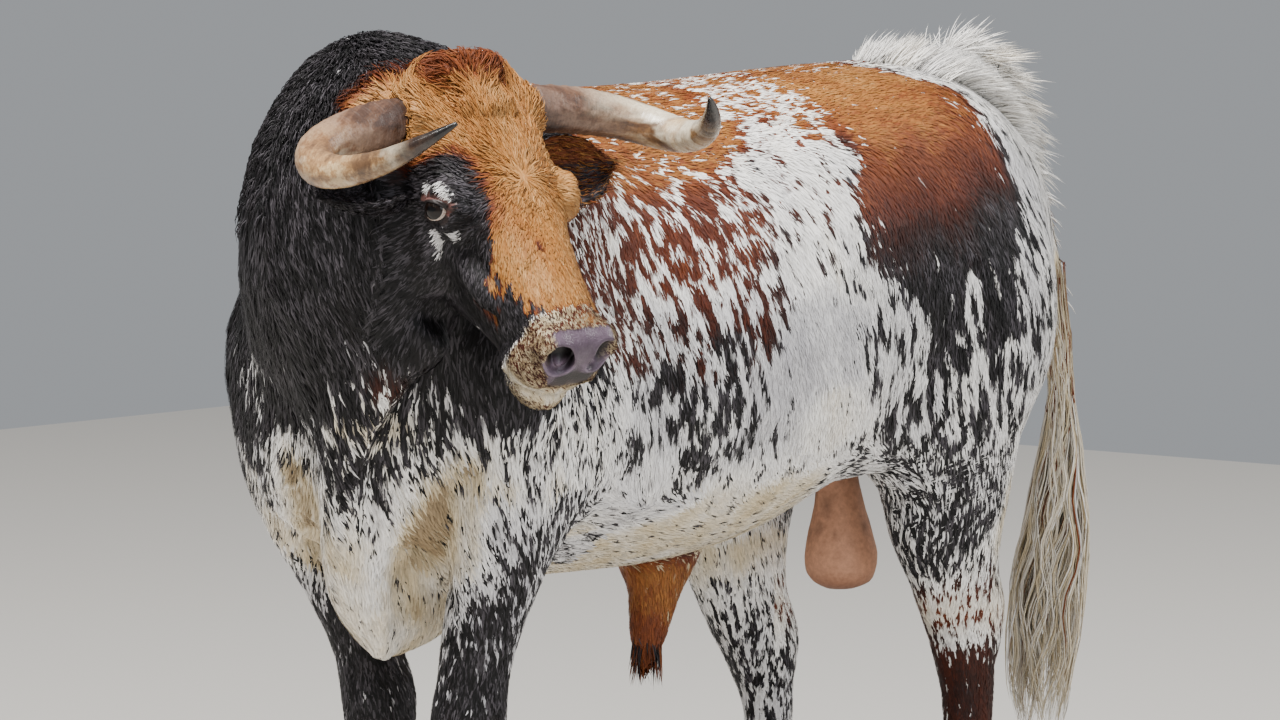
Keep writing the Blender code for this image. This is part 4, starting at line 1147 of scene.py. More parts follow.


# Strokes of colour over the chest: places as (out, y, z), width, then the colour's three values. The beige of
# the first, second and fourth strokes lies in the sculpted hollows and the groove beside the keel, and is
# painted shade.
chestMarksAndShade = [
    # Painted shade: darker beige in a sculpted chest hollow.
    (
        ((-0.095, -0.716, 0.815), (-0.084, -0.702, 0.757), (-0.125, -0.64, 0.70), (-0.157, -0.578, 0.652)),
        0.028,
        (0.95, 1.0, 1.08),
    ),
    # Painted shade: darker beige in the other sculpted chest hollow.
    (
        ((0.222, -0.670, 0.828), (0.182, -0.680, 0.779), (0.140, -0.66, 0.72), (0.095, -0.625, 0.673)),
        0.030,
        (0.95, 1.0, 1.14),
    ),
    (((0.06, -0.70, 0.80), (0.03, -0.69, 0.70), (0.0, -0.66, 0.62)), 0.018, (0.93, 1.0, 0.85)),
    # Painted shade: darker beige in the groove beside the keel.
    (((0.105, -0.67, 0.72), (0.078, -0.632, 0.655), (0.068, -0.60, 0.595)), 0.020, (0.97, 1.0, 1.05)),
    (((0.095, -0.74, 0.84), (0.107, -0.713, 0.785)), 0.016, (0.05, 1.0, 0.5)),
    (
        ((0.107, -0.713, 0.770), (0.091, -0.699, 0.743), (0.050, -0.682, 0.638), (0.019, -0.624, 0.529)),
        0.020,
        (0.985, 1.0, 0.52),
    ),
    (
        ((-0.245, -0.655, 0.80), (-0.26, -0.60, 0.72), (-0.225, -0.56, 0.62), (-0.20, -0.53, 0.56)),
        0.030,
        (0.48, 1.0, 0.60),
    ),
    (((0.315, -0.60, 0.84), (0.30, -0.58, 0.74), (0.28, -0.57, 0.66)), 0.030, (0.50, 1.0, 0.50)),
]


# Share of white, dark tone and white tone at each point of the hide. Some of the beige and grey tones in it
# are painted shade.
def markHide(points, part):
    local = points - shift
    y, z = local[:, 1], local[:, 2]
    out = local[:, 0] - middlePlane
    wobble = waves(local, 0.045, 3) * 0.10 + waves(local, 0.018, 4) * 0.06
    marks = np.tile(array(0.86, 1.0, 0.45), (len(points), 1))
    blendInto(marks, 1 - smoothStep(z + wobble * 0.8, 0.66, 0.90), (0.90, 1.0, 0.80))
    rightSide = (out < 0).astype(float)
    for row in flankPatchesAndShade:
        moved = list(row)
        moved[0] += 0.03 * math.sin(row[1] * 40)
        for side, keep in ((row, 1 - rightSide), (moved, rightSide)):
            blendInto(marks, patchWeight(y, z, side, wobble) * keep, row[4:])
    base = 1.06 + 0.20 * (y - 0.25)
    front = 0.20 + 0.05 * smoothStep(z, 1.18, 1.30) + 0.20 * (1 - smoothStep(z, 1.00, 1.14))
    rump = (
        smoothStep(y + wobble * 0.25, front - 0.02, front + 0.03)
        * smoothStep(z + wobble * 0.3, 0.90, 0.97)
    )
    rear = 0.665 - 0.045 * (1 - smoothStep(z, 1.10, 1.25)) - 0.22 * smoothStep(z, 1.35, 1.44)
    rump *= 1 - smoothStep(y + wobble * 0.25, rear - 0.02, rear + 0.03)
    rumpTone = np.interp(
        z + wobble * 0.2 - base, [-0.03, 0.04, 0.11, 0.19, 0.28, 0.36], [1.0, 0.80, 0.50, 0.31, 0.17, 0.10]
    )
    solid = np.stack([np.full(len(y), 0.02), rumpTone, np.full(len(y), 0.5)], axis=1)
    marks += (solid - marks) * rump[:, None]
    thin = np.exp(-(((y - 0.50) / 0.040) ** 2) - ((z - 1.03) / 0.055) ** 2)
    blendInto(marks, thin * (out > 0) * 0.9, (0.46, 0.9, 0.35))
    spine = smoothStep(z, 1.37, 1.42) * (1 - smoothStep(np.abs(out), 0.05, 0.14)) * (y > -0.2) * (y < 0.62)
    blendInto(marks, spine * 0.8, (0.12, 0.22, 0.6))
    front = 1 - smoothStep(y + 0.25 * (z - 1.0) + wobble * 0.3, -0.52, -0.44)
    front = np.maximum(front, smoothStep(z, 1.27, 1.35) * (1 - smoothStep(y + wobble * 0.4, -0.44, -0.35)))
    level = np.interp(out, bibOut, bibHigh)
    blendInto(marks, front * smoothStep(z + wobble * 0.5, level - 0.01, level + 0.05), (0.012, 1.0, 0.2))
    middle = (
        smoothStep(z + wobble * 0.4, level - 0.07, level - 0.01)
        * (1 - smoothStep(z + wobble * 0.5, level - 0.01, level + 0.06))
    )
    blendInto(marks, front * middle, (0.52, 1.0, 0.55))
    bib = np.exp(-(((out - 0.12) / 0.09) ** 2) - ((z - 0.905) / 0.055) ** 2) * front
    blendInto(marks, bib * 0.9, (0.34, 1.0, 0.85))
    shoulder = np.exp(-(((out + 0.17) / 0.06) ** 2) - ((z - 0.95) / 0.06) ** 2) * front
    blendInto(marks, shoulder * 0.8, (0.26, 1.0, 0.45))
    # Cream chest hair. Part of its beige is painted shade that sets off the keel.
    chest = (
        (1 - smoothStep(y, -0.62, -0.50))
        * (1 - smoothStep(z + wobble * 0.25, level - 0.10, level - 0.05))
        * smoothStep(z, 0.50, 0.56)
    )
    blendInto(marks, chest, (0.92, 1.0, 0.72))
    for places, width, values in chestMarksAndShade:
        line = [array(*place) - array(0.14266, 0, 0) for place in places]
        blendInto(marks, strokeShare(local, line, width) * (y < -0.45), values)
    throat = np.exp(-np.sum(((local - array(0.053, -0.817, 0.971)) / 0.045) ** 2, axis=1))
    blendInto(marks, throat * 0.7, (0.30, 0.50, 0.8))

    foreleg = (y < -0.30) & (z < 0.80) & ((np.abs(out - 0.02) > 0.10) | (z < 0.50))
    legY = np.where(out > 0, -0.585, -0.48)
    outer = smoothStep(np.abs(out), 0.19, 0.27) * 0.10
    blendInto(marks, foreleg * (1 - smoothStep(z + wobble * 0.6 - outer, 0.61, 0.68)), (0.58, 1.0, 0.3))
    blendInto(marks, foreleg * (1 - smoothStep(z + wobble * 0.6 - outer, 0.54, 0.61)), (0.13, 1.0, 0.10))
    blendInto(marks, foreleg * (1 - smoothStep(z + wobble * 0.4, 0.46, 0.54)), (0.05, 0.98, 0.1))
    outside = smoothStep(np.abs(out), 0.14, 0.20) * (y > legY + 0.03) * foreleg
    outside *= 1 - smoothStep(y - legY, 0.13, 0.19)
    blendInto(marks, outside * 0.85, (0.34, 1.0, 0.25))
    blendInto(marks, foreleg * (1 - smoothStep(z + wobble * 0.4, 0.24, 0.34)) * 0.7, (0.55, 1.0, 0.4))
    hind = (y > 0.30) & (z < 0.66)
    blendInto(marks, hind * (1 - smoothStep(z + wobble * 0.4, 0.48, 0.66)), (0.66, 0.95, 0.5))
    thigh = np.exp(-(((y - 0.515) / 0.095) ** 2) - ((z - 0.64) / 0.13) ** 2) * (out > 0.10)
    blendInto(marks, thigh, (0.22, 1.0, 0.35))
    lower = hind * (1 - smoothStep(z + wobble * 0.5, 0.44, 0.51))
    mixing = hind * (1 - smoothStep(z + wobble * 1.3, 0.42, 0.58)) * (out > 0)
    blendInto(marks, mixing, (0.42, 0.66, 0.5))
    blendInto(marks, lower * (out > 0), (0.05, 0.66, 0.5))
    blendInto(marks, lower * (out < 0), (0.40, 0.95, 0.4))
    hock = np.exp(-(((z - 0.50) / 0.05) ** 2)) * hind * (y > 0.52)
    blendInto(marks, hock * 0.7, (0.72, 0.2, 0.7))
    tailLow = (y > 0.985) * (1 - smoothStep(z + wobble * 0.5, 1.02, 1.20))
    blendInto(marks, tailLow, (0.62, 0.42, 0.95))
    feet = 1 - smoothStep(z, 0.10, 0.16)
    blendInto(marks, feet, (0.25, 0.98, 0.5))

    pouch = (z < 0.67) * (np.abs(out) < 0.075) * smoothStep(y, -0.06, -0.02) * (1 - smoothStep(y, 0.19, 0.24))
    blendInto(marks, pouch * (1 - smoothStep(z, 0.60, 0.66)), (0.06, 0.22, 0.95))
    blendInto(marks, pouch * (1 - smoothStep(z + wobble * 0.3, 0.505, 0.535)), (0.03, 0.35, 0.8))

    face = faceShare(points)
    u, v, w = toHead(points).T
    cheek = np.zeros_like(marks) + array(0.012, 0.98, 0.3)
    wave = waves(points, 0.010, 8) * 0.004 + waves(points, 0.030, 9) * 0.005
    border = np.interp(u, blazeU, blazeV)
    low = smoothStep(u, 0.22, 0.30)
    soft = 0.007 - 0.005 * low
    mixed = wave * (1 - 0.6 * low) + waves(points, 0.0028, 51) * 0.0065 * low
    tan = smoothStep(v + mixed, border - soft, border + soft) * (1 - smoothStep(v + wave, 0.115, 0.135))
    tan *= smoothStep(w, -0.14, -0.10) * (1 - smoothStep(u + wave, 0.440, 0.456))
    blendInto(cheek, tan, (0.003, 0.10, 0.8))
    crown = (1 - smoothStep(u + wave * 2, 0.015, 0.065)) * (1 - smoothStep(np.abs(v), 0.055, 0.10))
    blendInto(cheek, crown * tan, (0.01, 0.34, 0.6))
    dot = np.exp(-(((u - 0.326) / 0.007) ** 2) - ((v + 0.015) / 0.0045) ** 2) * (w > -0.06)
    blendInto(cheek, dot * 0.75, (0.003, 0.80, 0.6))
    edge = np.exp(-(((v - border) / 0.016) ** 2)) * (1 - smoothStep(u, 0.24, 0.31)) * (u > 0.05)
    blendInto(cheek, edge * 0.40, (0.01, 0.60, 0.6))
    farEye = np.linalg.norm(points - eyeAxes(1)[1], axis=1) + 0.8 * np.maximum(0, 0.088 - v)
    blendInto(cheek, 1 - smoothStep(farEye + wave, 0.031, 0.044), (0.01, 0.92, 0.5))
    jaw = (1 - smoothStep(w, -0.20, -0.14)) * smoothStep(u, 0.16, 0.24)
    blendInto(cheek, jaw, (0.012, 1.0, 0.35))
    muzzle = smoothStep(u + wave + 0.10 * (w + 0.10), 0.440, 0.458)
    blendInto(cheek, muzzle, (0.46, 0.60, 0.96))
    topRow = [onHead(0.450, -0.04, -0.03), onHead(0.456, 0, -0.018), onHead(0.450, 0.04, -0.03)]
    blendInto(cheek, strokeShare(points, topRow, 0.007) * 0.8, (0.25, 0.95, 0.8))
    creamRow = [onHead(0.466, -0.03, -0.03), onHead(0.470, 0, -0.022), onHead(0.466, 0.03, -0.03)]
    blendInto(cheek, strokeShare(points, creamRow, 0.006), (0.85, 0.5, 0.92))
    pink = np.exp(-(((u - 0.462) / 0.014) ** 2) - ((v - 0.018) / 0.026) ** 2) * (w > -0.05)
    blendInto(cheek, pink, (0.40, 0.12, 1.0))
    lip = np.exp(-(((w + 0.146) / 0.024) ** 4)) * smoothStep(u + wave, 0.425, 0.450)
    blendInto(cheek, np.clip(lip, 0, 1), (0.95, 0.5, 0.76))
    chin = (1 - smoothStep(w, -0.185, -0.170)) * smoothStep(u, 0.38, 0.42)
    blendInto(cheek, chin * 0.8, (0.55, 0.9, 0.9))
    for side in (1, -1):
        rows, middleEye = eyeAxes(side)
        rel = points - middleEye
        x, up = rel @ rows[0] - 0.001, rel @ rows[1]
        near = np.linalg.norm(rel, axis=1) < 0.075
        ring = np.hypot(x / 0.039, (up + 0.002) / 0.040)
        arc = np.exp(-(((ring - 1.0) / 0.12) ** 2)) * smoothStep(up, 0.004, 0.014) * near
        blendInto(cheek, arc, (0.72, 0.98, 0.50))
        fan = np.exp(-(((x + 0.005) / 0.014) ** 2) - ((up + 0.047) / 0.016) ** 2) * near
        blendInto(cheek, fan, (0.52, 0.98, 0.40))
        dots = np.exp(-(((x - 0.022) / 0.014) ** 2) - ((up + 0.036) / 0.012) ** 2) * near
        blendInto(cheek, dots, (0.34, 0.98, 0.35))
    marks += (cheek - marks) * face[:, None]
    for number, side in ((1, 1), (2, -1)):
        chosen = part == number
        marks[chosen] = (0.012, 0.92, 0.3) if side < 0 else (0.012, 0.32, 0.4)
        if side > 0:
            rim = smoothStep(-((points - earAxes[0][0]) @ headUp), 0.012, 0.030) * chosen
            blendInto(marks, rim, (0.01, 0.95, 0.4))
    return marks


# Bare skin: a colour, how bare it is and how wet. The dark inside the nostrils, along the mouth's crease and
# at the bottom of the nose pad is painted shade.
def bareHide(points, part):
    colors = np.tile(array(*linear("3a302c")[:3]), (len(points), 1))
    bare = np.zeros(len(points))
    wet = np.zeros(len(points))

    def cover(weight, code, share=1.0, wetness=0.0):
        nonlocal bare, wet
        weight = np.clip(weight, 0, 1)
        colors[:] += (array(*linear(code)[:3]) - colors) * weight[:, None]
        bare = bare + (share - bare) * weight
        wet = wet + (wetness - wet) * weight

    local = points - shift
    u, v, w = toHead(points).T
    face = faceShare(points)
    speckle = waves(points, 0.0035, 12)
    fall = 0.55 * (np.maximum(w, -0.075) + 0.03) + 0.22 * np.minimum(w + 0.075, 0)
    pad = smoothStep(u + fall + 0.06 * np.abs(v) + speckle * 0.001, 0.479, 0.488)
    pad *= (w > -0.128) * (np.abs(v) < 0.062) * (w < 0.02)
    pad *= 1 - smoothStep(np.abs(v) + 0.5 * np.maximum(0, -w - 0.075), 0.050, 0.062)
    cover(pad * face, "5d4f5c", 1.0, 1.0)
    # Painted shade: darker along the bottom of the nose pad.
    under = pad * smoothStep(-w, 0.062, 0.088) * (1 - smoothStep(np.abs(v - 0.006), 0.026, 0.042))
    cover(under * face, "2f2a29", 1.0, 0.7)
    for side in (-1, 1):
        rel = points - onHead(0.511, side * 0.040, -0.055)
        distance = np.linalg.norm(rel, axis=1)
        out = unit(array(0.80, side * 0.60, 0.0) @ headAxes)
        across = rel @ np.cross(unit(outFace - out * (outFace @ out)), out) * side
        rise = rel @ unit(outFace - out * (outFace @ out))
        pit = ((across - 0.25 * rise) / 0.0225) ** 2 + (rise / 0.0260) ** 2
        rim = np.exp(-(((np.sqrt(pit) - 1.15) / 0.20) ** 2)) * (distance < 0.05)
        cover(rim * smoothStep(-rise, 0.0, 0.012), "77677a", 1.0, 1.0)
        # Painted shade: near black inside each nostril's pit.
        inside = (1 - smoothStep(pit, 0.75, 1.10)) * (distance < 0.05)
        cover(inside, "140e10", 1.0, 0.4)
        fold = (
            np.exp(-(((across + 0.004) / 0.0125) ** 4) - ((rise + 0.0165) / 0.0075) ** 4)
            * (distance < 0.05)
        )
        cover(fold, "6a5a6a", 1.0, 0.9)
        rows, middle = eyeAxes(side)
        ball = points - middle
        reach = np.linalg.norm(ball, axis=1)
        x, up, ahead = ball @ rows[0], ball @ rows[1], ball @ rows[2]
        near = (reach < 0.042) & (ahead > -0.01)
        ring = np.hypot(x / 0.0285, np.where(up > 0, up / 0.0165, up / 0.0195))
        cover((1 - smoothStep(ring, 1.02, 1.22)) * near, "1c1413", 1.0, 0.35)
        lid = (
            (1 - smoothStep(ring, 1.55, 1.95))
            * smoothStep(ring, 1.02, 1.15)
            * (reach < 0.05)
            * smoothStep(up, 0.002, 0.008)
        )
        cover(lid * 0.95, "694844", 1.0, 0.25)
        corner = np.exp(-(((x - 0.036) / 0.007) ** 2) - ((up - 0.010) / 0.008) ** 2) * (reach < 0.055)
        cover(corner * 0.7, "5c3430", 1.0, 0.2)
        caruncle = np.exp(-(((x - 0.025) / 0.005) ** 2) - ((up + 0.0005) / 0.004) ** 2) * near
        cover(caruncle, "7a4238", 1.0, 0.6)
    # Painted shade: darker again at the bottom of the nose pad.
    chin = pad * smoothStep(-w, 0.076, 0.092) * smoothStep(v, -0.040, -0.022)
    cover(chin * face * 0.85, "2c2726", 1.0, 0.6)
    # Painted shade: a dark line in the crease between the lips.
    lips = np.zeros(len(points))
    for start, end in zip(mouthLine[:-1], mouthLine[1:]):
        lips = np.maximum(lips, strokeShare(points, [onHead(*start), onHead(*end)], 0.0052))
    cover(lips, "1e1615", 1.0, 0.5)
    low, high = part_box("scrotum")
    sack = (local[:, 1] > 0.45) & (points[:, 2] < high[2] - 0.01) & (points[:, 2] > low[2] - 0.03)
    sack &= (np.abs(local[:, 0] - middlePlane) < 0.085) & (local[:, 1] < 0.66)
    level = (points[:, 2] - low[2]) / (high[2] - low[2])
    cover(sack * 1.0, "cf9878", 1.0)
    blots = smoothStep(waves(points, 0.0055, 21) + 0.5 * waves(points, 0.0030, 22), 0.62, 0.80)
    cover(sack * blots * smoothStep(level, 0.25, 0.60) * 0.85, "3d2a26", 1.0)
    cover(sack * (1 - smoothStep(level, -0.05, 0.20)) * 0.75, "6a4030", 1.0)
    cover(sack * smoothStep(level, 0.80, 1.0) * 0.8, "4a3028", 1.0)
    return colors, bare, wet


# Places squeezed along the lie of the hair, so that a pattern read there comes out in streaks.
def flowPlace(points):
    local = points - shift
    face = faceShare(points)
    body = unit(array(0, 0.24, -0.97))
    bodyPlace = local - np.outer(local @ body, body) * 0.70
    headPlace = toHead(points)
    muzzle = smoothStep(headPlace[:, 0], 0.40, 0.44)[:, None]
    headPlace = headPlace * array(0.34, 1, 1) * (1 - muzzle) + headPlace * array(3.6, 4.4, 4.4) * muzzle
    low = (1 - smoothStep(local[:, 2], 0.62, 0.80))[:, None] * 0.9
    ahead = (1 - smoothStep(local[:, 1], -0.56, -0.36))[:, None] * 0.7
    bodyPlace = bodyPlace * (1 + np.maximum(low, ahead))
    return bodyPlace + (headPlace - bodyPlace) * face[:, None]


# The noise value that the given share of the pattern lies below.
def whiteLevel(share):
    share = np.clip(share, 0.002, 0.998)
    return 0.5 + 0.062 * np.log(share / (1 - share))


def markObject(obj, marks, flow):
    packed = marks.copy()
    packed[:, 0] = whiteLevel(marks[:, 0])
    setVector(obj, "marks", packed)
    setVector(obj, "flow", flow)


# The speckled coat's colour: dark flecks with streaked edges on white.
def coatColor(tree):
    marks = addNode(tree, "Attribute", attribute_name="marks", give="Vector")
    flow = addNode(tree, "Attribute", attribute_name="flow", give="Vector")
    level, tone, white = addNode(tree, "SeparateXYZ", {0: marks}, give="all")
    flecks = addNode(tree, "TexNoise", {"Vector": flow, "Scale": 62.0, "Detail": 2.0, "Roughness": 0.45})
    streaks = addNode(tree, "TexNoise", {"Vector": flow, "Scale": 330.0, "Detail": 2.0})
    value = addNode(
        tree,
        "Math",
        {
            0: flecks,
            1: addNode(
                tree,
                "Math",
                {0: addNode(tree, "Math", {0: streaks, 1: 0.5}, operation="SUBTRACT"), 1: 0.14},
                operation="MULTIPLY",
            ),
        },
        operation="ADD",
    )
    over = addNode(tree, "Math", {0: value, 1: level}, operation="SUBTRACT")
    dark = addNode(tree, "MapRange", {0: over, 1: -0.012, 2: 0.020})
    drift = addNode(tree, "TexNoise", {"Vector": flow, "Scale": 14.0, "Detail": 3.0})
    mixed = addNode(
        tree,
        "Math",
        {
            0: tone,
            1: addNode(
                tree,
                "Math",
                {0: addNode(tree, "Math", {0: drift, 1: 0.5}, operation="SUBTRACT"), 1: 0.30},
                operation="MULTIPLY",
            ),
        },
        operation="ADD",
    )
    mixed = addNode(
        tree,
        "Math",
        {
            0: mixed,
            1: addNode(
                tree,
                "Math",
                {0: addNode(tree, "Math", {0: streaks, 1: 0.5}, operation="SUBTRACT"), 1: 0.40},
                operation="MULTIPLY",
            ),
        },
        operation="ADD",
    )
    darkColor = addNode(tree, "ValToRGB", {0: mixed}, stops=[
            (0.0, linear("b88a55")),
            (0.13, linear("9c672f")),
            (0.30, linear("763b18")),
            (0.50, linear("54220f")),
            (0.70, linear("2d110a")),
            (0.88, linear("110b0c")),
            (1.0, linear("0a090b")),
        ])
    pale = addNode(
        tree,
        "Math",
        {
            0: white,
            1: addNode(
                tree,
                "Math",
                {0: addNode(tree, "Math", {0: drift, 1: 0.5}, operation="SUBTRACT"), 1: 0.5},
                operation="MULTIPLY",
            ),
        },
        operation="ADD",
    )
    # Past 0.85 the white darkens to beige. The chest hollows' tones above 1 use this end as painted shade.
    whiteColor = addNode(tree, "ValToRGB", {0: pale}, stops=[
            (0.05, linear("b3b1b6")),
            (0.35, linear("e2e0e0")),
            (0.55, linear("faf7f2")),
            (0.85, linear("dac9a6")),
            (1.0, linear("9c8666")),
        ])
    black = addNode(tree, "MapRange", {0: mixed, 1: 0.70, 2: 0.88})
    return addNode(
        tree, "Mix", {0: dark, 6: whiteColor, 7: darkColor}, 2, data_type="RGBA"
    ), streaks, flow, addNode(tree, "Math", {0: black, 1: dark}, operation="MULTIPLY")


# Cattle hide under short hair: flecks about 16 mm apart drawn out along the lie, and damp bare skin.
def hideMaterial():
    material, tree, shader = newMaterial("cattle hide")
    coat, streaks, flow, black = coatColor(tree)
    skinColor = addNode(tree, "Attribute", attribute_name="skinColor", give="Color")
    bareness = addNode(tree, "Attribute", attribute_name="bareness", give="Fac")
    wetness = addNode(tree, "Attribute", attribute_name="wetness", give="Fac")
    place = addNode(tree, "TexCoord", give="Object")
    mottle = addNode(tree, "TexNoise", {"Vector": place, "Scale": 120.0, "Detail": 5.0, "Roughness": 0.6})
    mottled = addNode(
        tree,
        "Mix",
        {
            0: 0.5,
            6: skinColor,
            7: addNode(
                tree, "ValToRGB", {0: mottle}, stops=[(0.3, linear("a49a98")), (0.7, linear("ffffff"))]
            ),
        },
        2,
        data_type="RGBA",
        blend_type="MULTIPLY",
    )
    tree.links.new(
        addNode(tree, "Mix", {0: bareness, 6: coat, 7: mottled}, 2, data_type="RGBA"),
        shader.inputs["Base Color"],
    )
    rough = addNode(tree, "MapRange", {0: wetness, 3: 0.62, 4: 0.22})
    tree.links.new(rough, shader.inputs["Roughness"])
    shader.inputs["IOR"].default_value = 1.45
    shader.inputs["Specular IOR Level"].default_value = 0.4
    cells = addNode(
        tree, "TexVoronoi", {"Vector": place, "Scale": 420.0}, feature="SMOOTH_F1", give="Distance"
    )
    cellHeight = addNode(
        tree,
        "Math",
        {0: addNode(tree, "Math", {0: 1.0, 1: cells}, operation="SUBTRACT"), 1: wetness},
        operation="MULTIPLY",
    )
    hairs = addNode(tree, "TexNoise", {"Vector": flow, "Scale": 900.0, "Detail": 2.0})
    furry = addNode(tree, "Math", {0: 1.0, 1: bareness}, operation="SUBTRACT")
    height = addNode(
        tree,
        "Math",
        {
            0: addNode(
                tree,
                "Math",
                {0: addNode(tree, "Math", {0: streaks, 1: hairs}, operation="ADD"), 1: furry},
                operation="MULTIPLY",
            ),
            1: addNode(tree, "Math", {0: cellHeight, 1: 0.9}, operation="MULTIPLY"),
        },
        operation="ADD",
    )
    height = addNode(
        tree,
        "Math",
        {0: height, 1: addNode(tree, "Math", {0: mottle, 1: 0.25}, operation="MULTIPLY")},
        operation="ADD",
    )
    bump = addNode(tree, "Bump", {"Height": height, "Strength": 0.7, "Distance": 0.0012})
    tree.links.new(bump, shader.inputs["Normal"])
    return material


def dressSkin():
    points = meshPoints(skin)
    marks = markHide(points, part)
    markObject(skin, marks, flowPlace(points))
    colors, bare, wet = bareHide(points, part)
    rgba = np.hstack([colors, np.ones((len(points), 1))])
    attribute = skin.data.attributes.new("skinColor", "FLOAT_COLOR", "POINT")
    attribute.data.foreach_set("color", rgba.astype(np.float32).ravel())
    setFloat(skin, "bareness", bare)
    setFloat(skin, "wetness", wet)
    skin.data.materials.append(hideMaterial())
    return bare


skinBare = dressSkin()

print("coat")
whorl = onHead(0.212, 0.014, 0.006)


# The finished hide as arrays, for growing hair from it.
class Hide:
    def __init__(self, obj):
        obj.data.calc_loop_triangles()
        count = len(obj.data.loop_triangles)
        flat = np.empty(count * 3, np.int32)
        obj.data.loop_triangles.foreach_get("vertices", flat)
        self.faces = flat.reshape(-1, 3)
        self.points = meshPoints(obj)
        self.normals = meshNormals(obj)
        corners = self.points[self.faces]
        crossed = np.cross(corners[:, 1] - corners[:, 0], corners[:, 2] - corners[:, 0])
        self.areas = np.linalg.norm(crossed, axis=1) / 2
        self.middles = corners.mean(axis=1)
        self.faceNormals = unit(self.normals[self.faces].sum(axis=1))
        self.tree = BVHTree.FromPolygons(self.points.tolist(), self.faces.tolist())

    # Seeded places over the hide, with their normals and the face each lies in.
    def scatter(self, perArea, allowed):
        expected = self.areas * perArea * allowed
        counts = random.poisson(expected)
        index = np.repeat(np.arange(len(self.faces)), counts)
        first, second = random.random(len(index)), random.random(len(index))
        over = first + second > 1
        first[over], second[over] = 1 - first[over], 1 - second[over]
        shares = np.stack([1 - first - second, first, second], axis=1)
        places = (self.points[self.faces[index]] * shares[:, :, None]).sum(axis=1)
        normals = unit((self.normals[self.faces[index]] * shares[:, :, None]).sum(axis=1))
        return places, normals, index, shares

    # The nearest places on the hide and the hide's normals there.
    def settle(self, places):
        near = self.tree.find_nearest
        found = [near(place) for place in places.tolist()]
        spots = np.array([tuple(hit[0]) for hit in found])
        index = np.array([hit[2] for hit in found])
        return spots, self.faceNormals[index]


hide = Hide(skin)


# The way the hair lies at each place, in the surface.
def hairLie(points, normals, belongs):
    local = points - shift
    y, z = local[:, 1], local[:, 2]
    out = local[:, 0] - middlePlane
    side = np.sign(out)
    count = len(points)
    slope = 0.20 + 0.28 * smoothStep(z, 1.15, 1.32)
    lie = np.stack([np.zeros(count), slope, -np.ones(count)], axis=1)
    top = smoothStep(normals[:, 2], 0.35, 0.85)[:, None]
    lie = lie * (1 - top) + array(0, 1, -0.05) * top
    under = smoothStep(-normals[:, 2], 0.3, 0.8)[:, None]
    lie = lie * (1 - under) + array(0, 1, 0) * under
    rear = smoothStep(y, 0.50, 0.66)[:, None]
    lie = lie * (1 - rear) + array(0, 0.1, -1) * rear
    chest = (1 - smoothStep(y, -0.66, -0.52))[:, None]
    spread = np.stack([0.35 * side, np.zeros(count), -np.ones(count)], axis=1)
    lie = lie * (1 - chest) + spread * chest
    leg = (1 - smoothStep(z, 0.50, 0.70))[:, None]
    lie = lie * (1 - leg) + array(0, 0.12, -1) * leg
    away = unit(points - whorl)
    u, v, w = toHead(points).T
    facial = away + downFace * (0.9 * smoothStep(u, 0.24, 0.34))[:, None]
    face = faceShare(points)[:, None]
    lie = lie * (1 - face) + facial * face
    for number, (base, axis) in zip((1, 2), earAxes):
        lie[belongs == number] = axis
    swirl = waves(points, 0.060, 31)[:, None] * 0.16 + waves(points, 0.022, 32)[:, None] * 0.08
    lie = unit(lie - normals * (lie * normals).sum(axis=1, keepdims=True))
    across = np.cross(normals, lie)
    return unit(lie + across * swirl)


coatKinds = {
    "body": {"long": 0.023, "wide": 0.0032, "lift": 0.0010, "cover": 2.0},
    "neck": {"long": 0.026, "wide": 0.0033, "lift": 0.0022, "cover": 2.1},
    "leg": {"long": 0.015, "wide": 0.0028, "lift": 0.0010, "cover": 2.0},
    "face": {"long": 0.0165, "wide": 0.0022, "lift": 0.0014, "cover": 2.7},
}


# Length, width, lift and cover of the hair at each place.
def coatSizes(points, belongs):
    local = points - shift
    u, v, w = toHead(points).T
    sizes = np.tile(array(*coatKinds["body"].values()), (len(points), 1))
    leg = (1 - smoothStep(local[:, 2], 0.46, 0.68))[:, None]
    sizes += (array(*coatKinds["leg"].values()) - sizes) * leg
    neck = ((1 - smoothStep(local[:, 1], -0.60, -0.42)) * smoothStep(local[:, 2], 0.60, 0.75))[:, None]
    sizes += (array(*coatKinds["neck"].values()) - sizes) * neck
    place = toHead(points)
    face = (
        faceShare(points)
        * (1 - smoothStep(np.abs(place[:, 1]), 0.10, 0.15))
        * smoothStep(place[:, 2], -0.29, -0.20)
    )
    sizes += (array(*coatKinds["face"].values()) - sizes) * face[:, None]
    muzzle = (smoothStep(u, 0.40, 0.46) * faceShare(points))[:, None]
    sizes[:, 0:1] *= 1 - 0.60 * muzzle
    sizes[:, 1:2] *= 1 - 0.45 * muzzle
    sizes[:, 3:4] *= 1 - 0.30 * muzzle
    eyes = np.zeros(len(points))
    for side in (-1, 1):
        eyes = np.maximum(
            eyes, 1 - smoothStep(np.linalg.norm(points - eyeAxes(side)[1], axis=1), 0.035, 0.060)
        )
    sizes[:, 0] *= 1 - 0.40 * eyes
    sizes[:, 1] *= 1 - 0.35 * eyes
    ears = belongs > 0
    sizes[ears] = array(0.014, 0.0020, 0.0016, 2.0)
    feet = (1 - smoothStep(local[:, 2], 0.08, 0.13))[:, None]
    sizes[:, 0:1] *= 1 - 0.2 * feet
    return sizes


